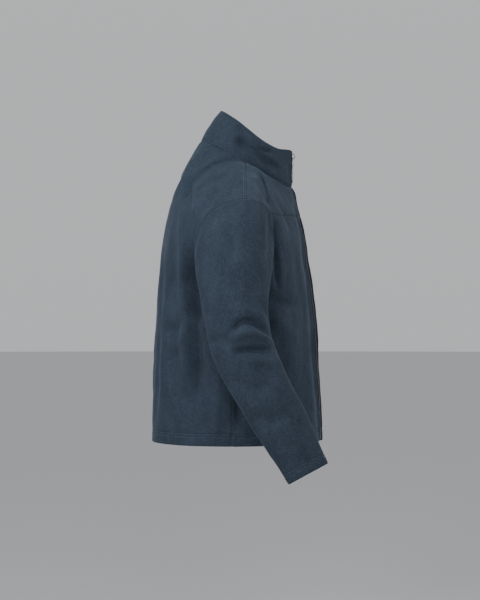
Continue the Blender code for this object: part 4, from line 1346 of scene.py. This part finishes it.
SIDEWAYS = np.array([1.0, 0.0, 0.0])
INWARD = np.array([0.0, 1.0, 0.0])


def smoothed(points, count):
    """Smooth path through the points, read at a count of places."""
    return smooth(np.arange(len(points)), points, np.linspace(0, len(points) - 1, count))


def slider_pieces():
    """Shield-shaped plates, the neck between them and the arched crown, in the slider's own frame."""
    shield = rounded_outline(SHIELD, 0.0014)
    front = outline_plate(shield, -0.0021, -0.0005, 0.00045)
    rear = outline_plate(shield, 0.0022, 0.0038, 0.00045)
    neck = outline_plate(rounded_outline(WEDGE, 0.0004), -0.0012, 0.0030, 0.0001)
    rims = [tube(smoothed(SLIDER_RIM * (side, 1, 1), 7), 0.00055, 8) for side in (-1, 1)]
    crown = tube(smoothed(CROWN_ARCH, 37), 0.00105, 12, flat=0.75, across=SIDEWAYS)
    return gather([front, rear, neck, crown] + rims)


def pull_pieces():
    """A wire loop through the crown, a moulded head and a long flat blade, in the hinge's own frame."""
    loop = tube(smoothed(PULL_LOOP, 37), 0.00055, 10, across=INWARD)
    bar = tube([(-0.0021, 0, 0), (-0.0012, 0, 0), (0.0012, 0, 0), (0.0021, 0, 0)], 0.00056, 12, across=INWARD)
    head = outline_plate(rounded_outline(PULL_HEAD, 0.0016), -0.0021, 0.0016, 0.0008)
    blade = outline_plate(rounded_outline(PULL_BLADE, 0.0022), -0.0010, 0.0007, 0.0004)
    ribs = []
    for side in (-1, 1):
        heights = ((0.00060, -0.0225), (0.00078, -0.0240), (0.00078, -0.0475), (0.00060, -0.0490))
        path = [(0, side * depth, z) for depth, z in heights]
        ribs.append(tube(path, [0.0004, 0.00095, 0.00095, 0.0004], 12, flat=0.28, across=INWARD))
    return gather([loop, bar, head, blade] + ribs)


def box_pieces():
    """The zip's bottom box: a moulded block, a raised lip at its mouth and the pin beside it."""
    body = outline_plate(rounded_outline(BOX_OUTLINE, 0.0012), -0.0013, 0.0013, 0.0005)
    lip = tube([(-0.0030, -0.0011, 0.0038), (0.0030, -0.0011, 0.0038)], 0.0007, 10)
    pin = tube([(0.0012, -0.0012, -0.0040), (0.0012, -0.0012, 0.0030)], 0.0006, 10)
    return gather([body, lip, pin])


# ---- looks ----

def rgba(colour):
    """Red, green, blue and alpha from three numbers, or from one grey."""
    return (*(colour if len(colour) == 3 else colour * 3), 1)


class Nodes:
    """The node tree of a material or world, with short ways to add to it."""

    def __init__(self, owner):
        owner.use_nodes = True
        self.nodes, self.links = owner.node_tree.nodes, owner.node_tree.links

    def noise(self, scale, detail, rough=0.55):
        """Noise on the object's own coordinates, with a scale along each axis in cells a metre."""
        place = self.nodes.new("ShaderNodeTexCoord")
        mapping = self.nodes.new("ShaderNodeMapping")
        mapping.inputs["Scale"].default_value = scale
        self.links.new(place.outputs["Object"], mapping.inputs["Vector"])
        made = self.nodes.new("ShaderNodeTexNoise")
        for name, value in (("Scale", 1.0), ("Detail", detail), ("Roughness", rough)):
            made.inputs[name].default_value = value
        self.links.new(mapping.outputs["Vector"], made.inputs["Vector"])
        return made.outputs["Fac"]

    def ramp(self, source, *stops):
        """A colour ramp. Each stop is a position, then red, green and blue or one grey."""
        made = self.nodes.new("ShaderNodeValToRGB")
        elements = made.color_ramp.elements
        for index, (position, *colour) in enumerate((stops[0], stops[-1])):
            elements[index].position, elements[index].color = position, rgba(colour)
        for position, *colour in stops[1:-1]:
            elements.new(position).color = rgba(colour)
        self.links.new(source, made.inputs["Fac"])
        return made.outputs["Color"]

    def multiply(self, share, first, second):
        """The first colour times a share of the second."""
        made = self.nodes.new("ShaderNodeMix")
        made.data_type = "RGBA"
        made.blend_type = "MULTIPLY"
        made.inputs["Factor"].default_value = share
        self.links.new(first, made.inputs["A"])
        self.links.new(second, made.inputs["B"])
        return made.outputs["Result"]

    def bump(self, heights):
        """Stacked bumps, each of (source, strength, distance)."""
        normal = None
        for source, strength, distance in heights:
            made = self.nodes.new("ShaderNodeBump")
            made.inputs["Strength"].default_value = strength
            made.inputs["Distance"].default_value = distance
            self.links.new(source, made.inputs["Height"])
            if normal is not None:
                self.links.new(normal, made.inputs["Normal"])
            normal = made.outputs["Normal"]
        return normal


def material(name, draw):
    """A material from a function that gives the shader's linked sources, its constants and its bumps."""
    made = bpy.data.materials.new(name)
    tree = Nodes(made)
    shader = tree.nodes["Principled BSDF"]
    linked, constants, bumps = draw(tree)
    for socket, source in linked.items():
        tree.links.new(source, shader.inputs[socket])
    for socket, value in constants.items():
        shader.inputs[socket].default_value = value
    if bumps:
        tree.links.new(tree.bump(bumps), shader.inputs["Normal"])
    return made


def fleece_look(tree):
    """Brushed pile: short tufts, a faint knit grain and slow worn patches, with a pale sheen at the edges."""
    tufts = tree.noise((520, 520, 640), 4.0, 0.62)
    grain = tree.noise((120, 120, 520), 3.0, 0.6)
    patches = tree.noise((26, 26, 17), 4.0, 0.6)
    clumps = tree.noise((150, 150, 130), 4.0, 0.65)
    colour = tree.ramp(patches, (0.30, 0.0194, 0.0278, 0.0404), (0.72, 0.0268, 0.0376, 0.0538))
    speck = tree.ramp(tufts, (0.32, 0.62, 0.64, 0.66), (0.52, 1), (0.74, 1.5, 1.46, 1.42))
    weave = tree.ramp(grain, (0.30, 0.80, 0.81, 0.82), (0.72, 1.18, 1.17, 1.16))
    felt = tree.ramp(clumps, (0.30, 0.80, 0.81, 0.82), (0.72, 1.20, 1.19, 1.18))
    for share, layer in ((0.85, speck), (0.7, weave), (0.7, felt)):
        colour = tree.multiply(share, colour, layer)
    constants = {
        "Roughness": 0.96, "Specular IOR Level": 0.08,
        "Sheen Weight": 0.06, "Sheen Roughness": 0.34, "Sheen Tint": (0.48, 0.66, 0.92, 1),
    }
    bumps = [(clumps, 0.55, 0.0012), (grain, 0.35, 0.0006), (tufts, 0.9, 0.0006)]
    return {"Base Color": colour}, constants, bumps


def thread_look(tree):
    """Twisted thread, a little lighter than the cloth."""
    twist = tree.noise((1500, 1500, 1500), 2.0)
    colour = tree.ramp(twist, (0.3, 0.026, 0.042, 0.064), (0.7, 0.050, 0.076, 0.108))
    return {"Base Color": colour}, {"Roughness": 0.62}, [(twist, 0.5, 0.0001)]


def tape_look(tree):
    """Woven tape: fine ribs along its length."""
    ribs = tree.noise((2600, 2600, 900), 2.0)
    wear = tree.noise((60, 60, 40), 3.0)
    colour = tree.ramp(ribs, (0.3, 0.008, 0.012, 0.019), (0.7, 0.018, 0.026, 0.038))
    tint = tree.ramp(wear, (0.3, 0.85), (0.7, 1.15))
    return {"Base Color": tree.multiply(1.0, colour, tint)}, {"Roughness": 0.85}, [(ribs, 0.6, 0.0002)]


def coil_look(tree):
    """Dark nylon with a soft, uneven gloss."""
    haze = tree.noise((700, 700, 700), 3.0)
    colour = tree.ramp(haze, (0.3, 0.012, 0.017, 0.024), (0.7, 0.026, 0.034, 0.045))
    rough = tree.ramp(haze, (0.3, 0.30), (0.7, 0.45))
    return {"Base Color": colour, "Roughness": rough}, {}, [(haze, 0.15, 0.0001)]


def metal_look(tree):
    """Satin gunmetal with fine brushing and rubbed patches."""
    brushed = tree.noise((900, 900, 6000), 3.0)
    patches = tree.noise((350, 350, 350), 4.0)
    colour = tree.ramp(patches, (0.3, 0.070, 0.078, 0.088), (0.7, 0.150, 0.160, 0.172))
    rough = tree.ramp(brushed, (0.3, 0.26), (0.7, 0.46))
    return {"Base Color": colour, "Roughness": rough}, {"Metallic": 1.0}, [(brushed, 0.12, 0.00005)]


def floor_look(tree):
    """Plain pale floor."""
    return {}, {"Base Color": (0.86, 0.86, 0.87, 1), "Roughness": 0.9}, []


# ---- building ----

ROUNDED = {
    "front_right": ("bottom", "left"), "front_left": ("bottom", "left"),
    "front_yoke_right": ("left",), "front_yoke_left": ("left",),
    "sleeve_right": ("top",), "sleeve_left": ("top",),
    "back": ("bottom",), "collar": ("top", "left", "right"),
}


def draped_panels(front_levels, lower_rows):
    """Every cloth panel with its folds, by node, the fronts' borders brought to the yokes' and the back's."""
    panels = {}
    yoke_levels = upper_levels(SEAM_OFFSETS, YOKE_HEIGHT)
    for side, word in ((-1, "right"), (1, "left")):
        for node, name, levels in (("front_", "front_", front_levels), ("front_yoke_", "yoke_", yoke_levels)):
            panels[node + word] = sewn_panel(name + word + "_cloth", front_grid(side, levels), "body")
        sleeve = sleeve_grid() * np.array([side, 1.0, 1.0])
        panels["sleeve_" + word] = sewn_panel("sleeve_" + word + "_cloth", sleeve, "sleeve")
    panels["back"] = sewn_panel("back_cloth", back_grid(), "body")
    panels["collar"] = sewn_panel("collar_cloth", collar_grid(), "collar", COLLAR_WALL)
    everything = slice(None)
    for word in ("right", "left"):
        front, yoke = panels["front_" + word], panels["front_yoke_" + word]
        meet((front, "top", everything), (yoke, "bottom", everything))
        back_border = "left" if word == "left" else "right"
        meet((front, "right", lower_rows), (panels["back"], back_border, lower_rows))
    return panels


def sew(panels, underarm_row):
    """Marks the seams, the turned edges and the rows of stitches of every panel."""
    for word in ("right", "left"):
        front, yoke, sleeve = (panels[node + word] for node in ("front_", "front_yoke_", "sleeve_"))
        front.turned("bottom", HEM_DEPTH, HEM_EXTRA, HEM_ROWS)
        front.seam("right")
        front.seam("top")
        yoke.seam("bottom", (NEAR_ROW,))
        yoke.seam("right", (FAR_ROW,))
        yoke.seam("top")
        for panel in (front, yoke):
            panel.turned("left", ZIP_EDGE_DEPTH, ZIP_EDGE_EXTRA, ZIP_EDGE_ROWS, ZIP_EDGE_SWELL)
        sleeve.seam("bottom")
        sleeve.turned("top", CUFF_DEPTH, HEM_EXTRA, CUFF_ROWS)
    back, collar = panels["back"], panels["collar"]
    beyond = SHOULDER_COLUMNS + len(SEAM_OFFSETS) - 1
    on_shoulder = np.zeros(back.grid.shape[:2])
    on_shoulder[:, :beyond] = on_shoulder[:, -beyond:] = 1
    above = np.zeros(back.grid.shape[:2])
    above[underarm_row:] = 1
    back.turned("bottom", HEM_DEPTH, HEM_EXTRA, HEM_ROWS)
    for border in ("left", "right"):
        back.seam(border)
        back.seam(border, (FAR_ROW,), above)
    back.seam("top")
    back.seam("top", (NEAR_ROW, FAR_ROW), on_shoulder)
    collar.seam("bottom", (COLLAR_ROW,))
    for border in ("left", "right"):
        collar.turned(border, COLLAR_END_DEPTH, 0.0, ZIP_EDGE_ROWS, ZIP_EDGE_SWELL)


def build_jacket():
    """The cloth and its stitches: the objects by node, and each one's threads."""
    front_levels = lower_levels(SEAM_OFFSETS)
    underarm_row = int(np.argmin(np.abs(front_levels - (UNDERARM_Z - HEM_Z) / LOWER_HEIGHT)))
    panels = draped_panels(front_levels, slice(0, underarm_row + 1))
    sew(panels, underarm_row)
    for panel in panels.values():
        panel.settle()
    for word, column in (("left", 0), ("right", -1)):
        fronts = [panels[node + word].grid[:, -1] for node in ("front_", "front_yoke_")]
        close_armhole(panels["sleeve_" + word], fronts + [panels["back"].grid[:, column]])
    fleece, thread = material("fleece_pile", fleece_look), material("thread", thread_look)
    made, threads = {}, {}
    for node, panel in panels.items():
        made[node] = add_panel(panel, ROUNDED[node], fleece, "fleece", node)
        sewn = stitches(panel.stitch_paths())
        threads[node] = [add_mesh("stitches_" + node, *sewn, thread, JACKET, "fleece")]
    return made, threads


def build_zip():
    """The tapes, the coil and the metal pieces. Gives the tapes by node."""
    weave = material("zip_tape_weave", tape_look)
    metal = material("zip_gunmetal", metal_look)
    nylon = material("zip_coil_nylon", coil_look)
    halves, line, looks = tapes()
    made = {}
    for panel, node in zip(halves, ("zip_tape_right", "zip_tape_left")):
        made[node] = add_panel(panel, (), weave, "zip_tape", node)
    add_mesh("zip_coil", *coil(line, looks), nylon, JACKET, "zip_tape")
    joint = frame["record"]["behaviour"]["joints"][0]
    hinge, across = Vector(joint["pos_m"]), -Vector(joint["axis"])
    inward = Vector((-across.y, across.x, 0.0))
    slider_place = hinge + SLIDER_BEHIND_HINGE * inward + Vector((0, 0, SLIDER_ABOVE_HINGE))
    for name, (verts, faces), place, body, node in (
        ("slider", slider_pieces(), slider_place, JACKET, "zip_slider"),
        ("pull_tab", pull_pieces(), hinge, "pull", "zip_pull"),
        ("zip_foot", box_pieces(), Vector(BOX_PLACE), JACKET, "zip_box"),
    ):
        verts = placed(verts, frame_matrix(place, across))
        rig.replaces(add_mesh(name, verts, faces, metal, body, "zip_metal", SHARP_ANGLE), node)
    return made


FLOOR_Z = -1.42
FLOOR_RADIUS = 40.0
CAMERA_PLACE = (-4.5, 0.0097, -0.3028)
CAMERA_LENS = 122.7
SKY_STRENGTH = 0.68
# height from the nadir (0) to the zenith (1), then the colour
SKY = (
    (0.0, 0.80, 0.81, 0.83), (0.17, 0.84, 0.85, 0.87), (0.28, 0.24, 0.24, 0.25), (0.60, 0.24, 0.24, 0.25),
    (1.0, 1.30, 1.32, 1.35),
)
Lamp = namedtuple("Lamp", "name place target size power")
LAMPS = (
    Lamp("near", (-4.0, 1.1, 0.5), (0, 0, -0.3), (0.5, 0.5), 9.8),
    Lamp("cam_side", (-4.2, -0.2, 0.8), (0, 0, -0.3), (0.5, 0.5), 4.2),
    Lamp("near_top", (-2.4, 0.2, 2.8), (0, 0, -0.2), (0.8, 0.8), 3.8),
    Lamp("rear_top", (-0.8, 2.2, 2.0), (0, 0, -0.2), (1.0, 1.0), 10.6),
    Lamp("front_strip", (0.6, -2.8, 0.8), (0, -0.1, -0.3), (0.6, 2.0), 8.6),
    Lamp("far_key", (2.5, -0.6, 2.0), (0, 0, -0.2), (1.4, 1.4), 6.0),
    Lamp("far_fill", (3.4, 0.8, 0.5), (0, 0, -0.3), (2.0, 2.0), 6.0),
)
LAMP_SPREAD = 60


def add_object(name, data, place):
    """An object of the stage, linked to the scene."""
    made = bpy.data.objects.new(name, data)
    made.location = place
    bpy.context.scene.collection.objects.link(made)
    return made


def build_stage():
    """The floor, the surroundings, the lamps and the camera."""
    floor_mesh = bpy.data.meshes.new("floor")
    shape = bmesh.new()
    bmesh.ops.create_circle(shape, cap_ends=True, radius=FLOOR_RADIUS, segments=96)
    shape.to_mesh(floor_mesh)
    shape.free()
    floor = add_object("floor", floor_mesh, (0, 0, FLOOR_Z))
    floor.data.materials.append(material("floor_pale", floor_look))
    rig.stage(floor)

    world = bpy.data.worlds.new("studio")
    tree = Nodes(world)
    place = tree.nodes.new("ShaderNodeTexCoord")
    split = tree.nodes.new("ShaderNodeSeparateXYZ")
    tree.links.new(place.outputs["Generated"], split.inputs["Vector"])
    background = tree.nodes["Background"].inputs
    tree.links.new(tree.ramp(split.outputs["Z"], *SKY), background["Color"])
    background["Strength"].default_value = SKY_STRENGTH
    bpy.context.scene.world = world

    for lamp in LAMPS:
        data = bpy.data.lights.new(lamp.name, "AREA")
        data.shape = "RECTANGLE"
        data.size, data.size_y = lamp.size
        data.energy = lamp.power
        data.spread = math.radians(LAMP_SPREAD)
        light = add_object(lamp.name, data, lamp.place)
        light.rotation_euler = (Vector(lamp.target) - Vector(lamp.place)).to_track_quat("-Z", "Y").to_euler()

    camera_data = bpy.data.cameras.new("camera")
    camera_data.sensor_width = 36.0
    camera_data.lens = CAMERA_LENS
    camera = add_object("camera", camera_data, CAMERA_PLACE)
    camera.rotation_euler = (math.pi / 2, 0.0, -math.pi / 2)
    bpy.context.scene.camera = camera


cloth, threads = build_jacket()
declare_sheets({**cloth, **build_zip()}, threads)
build_stage()

visual_box = [list(corner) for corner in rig.bounds()]
with open("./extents.json", "w") as file:
    json.dump({"cad": CAD_BOX, "visual": visual_box}, file)
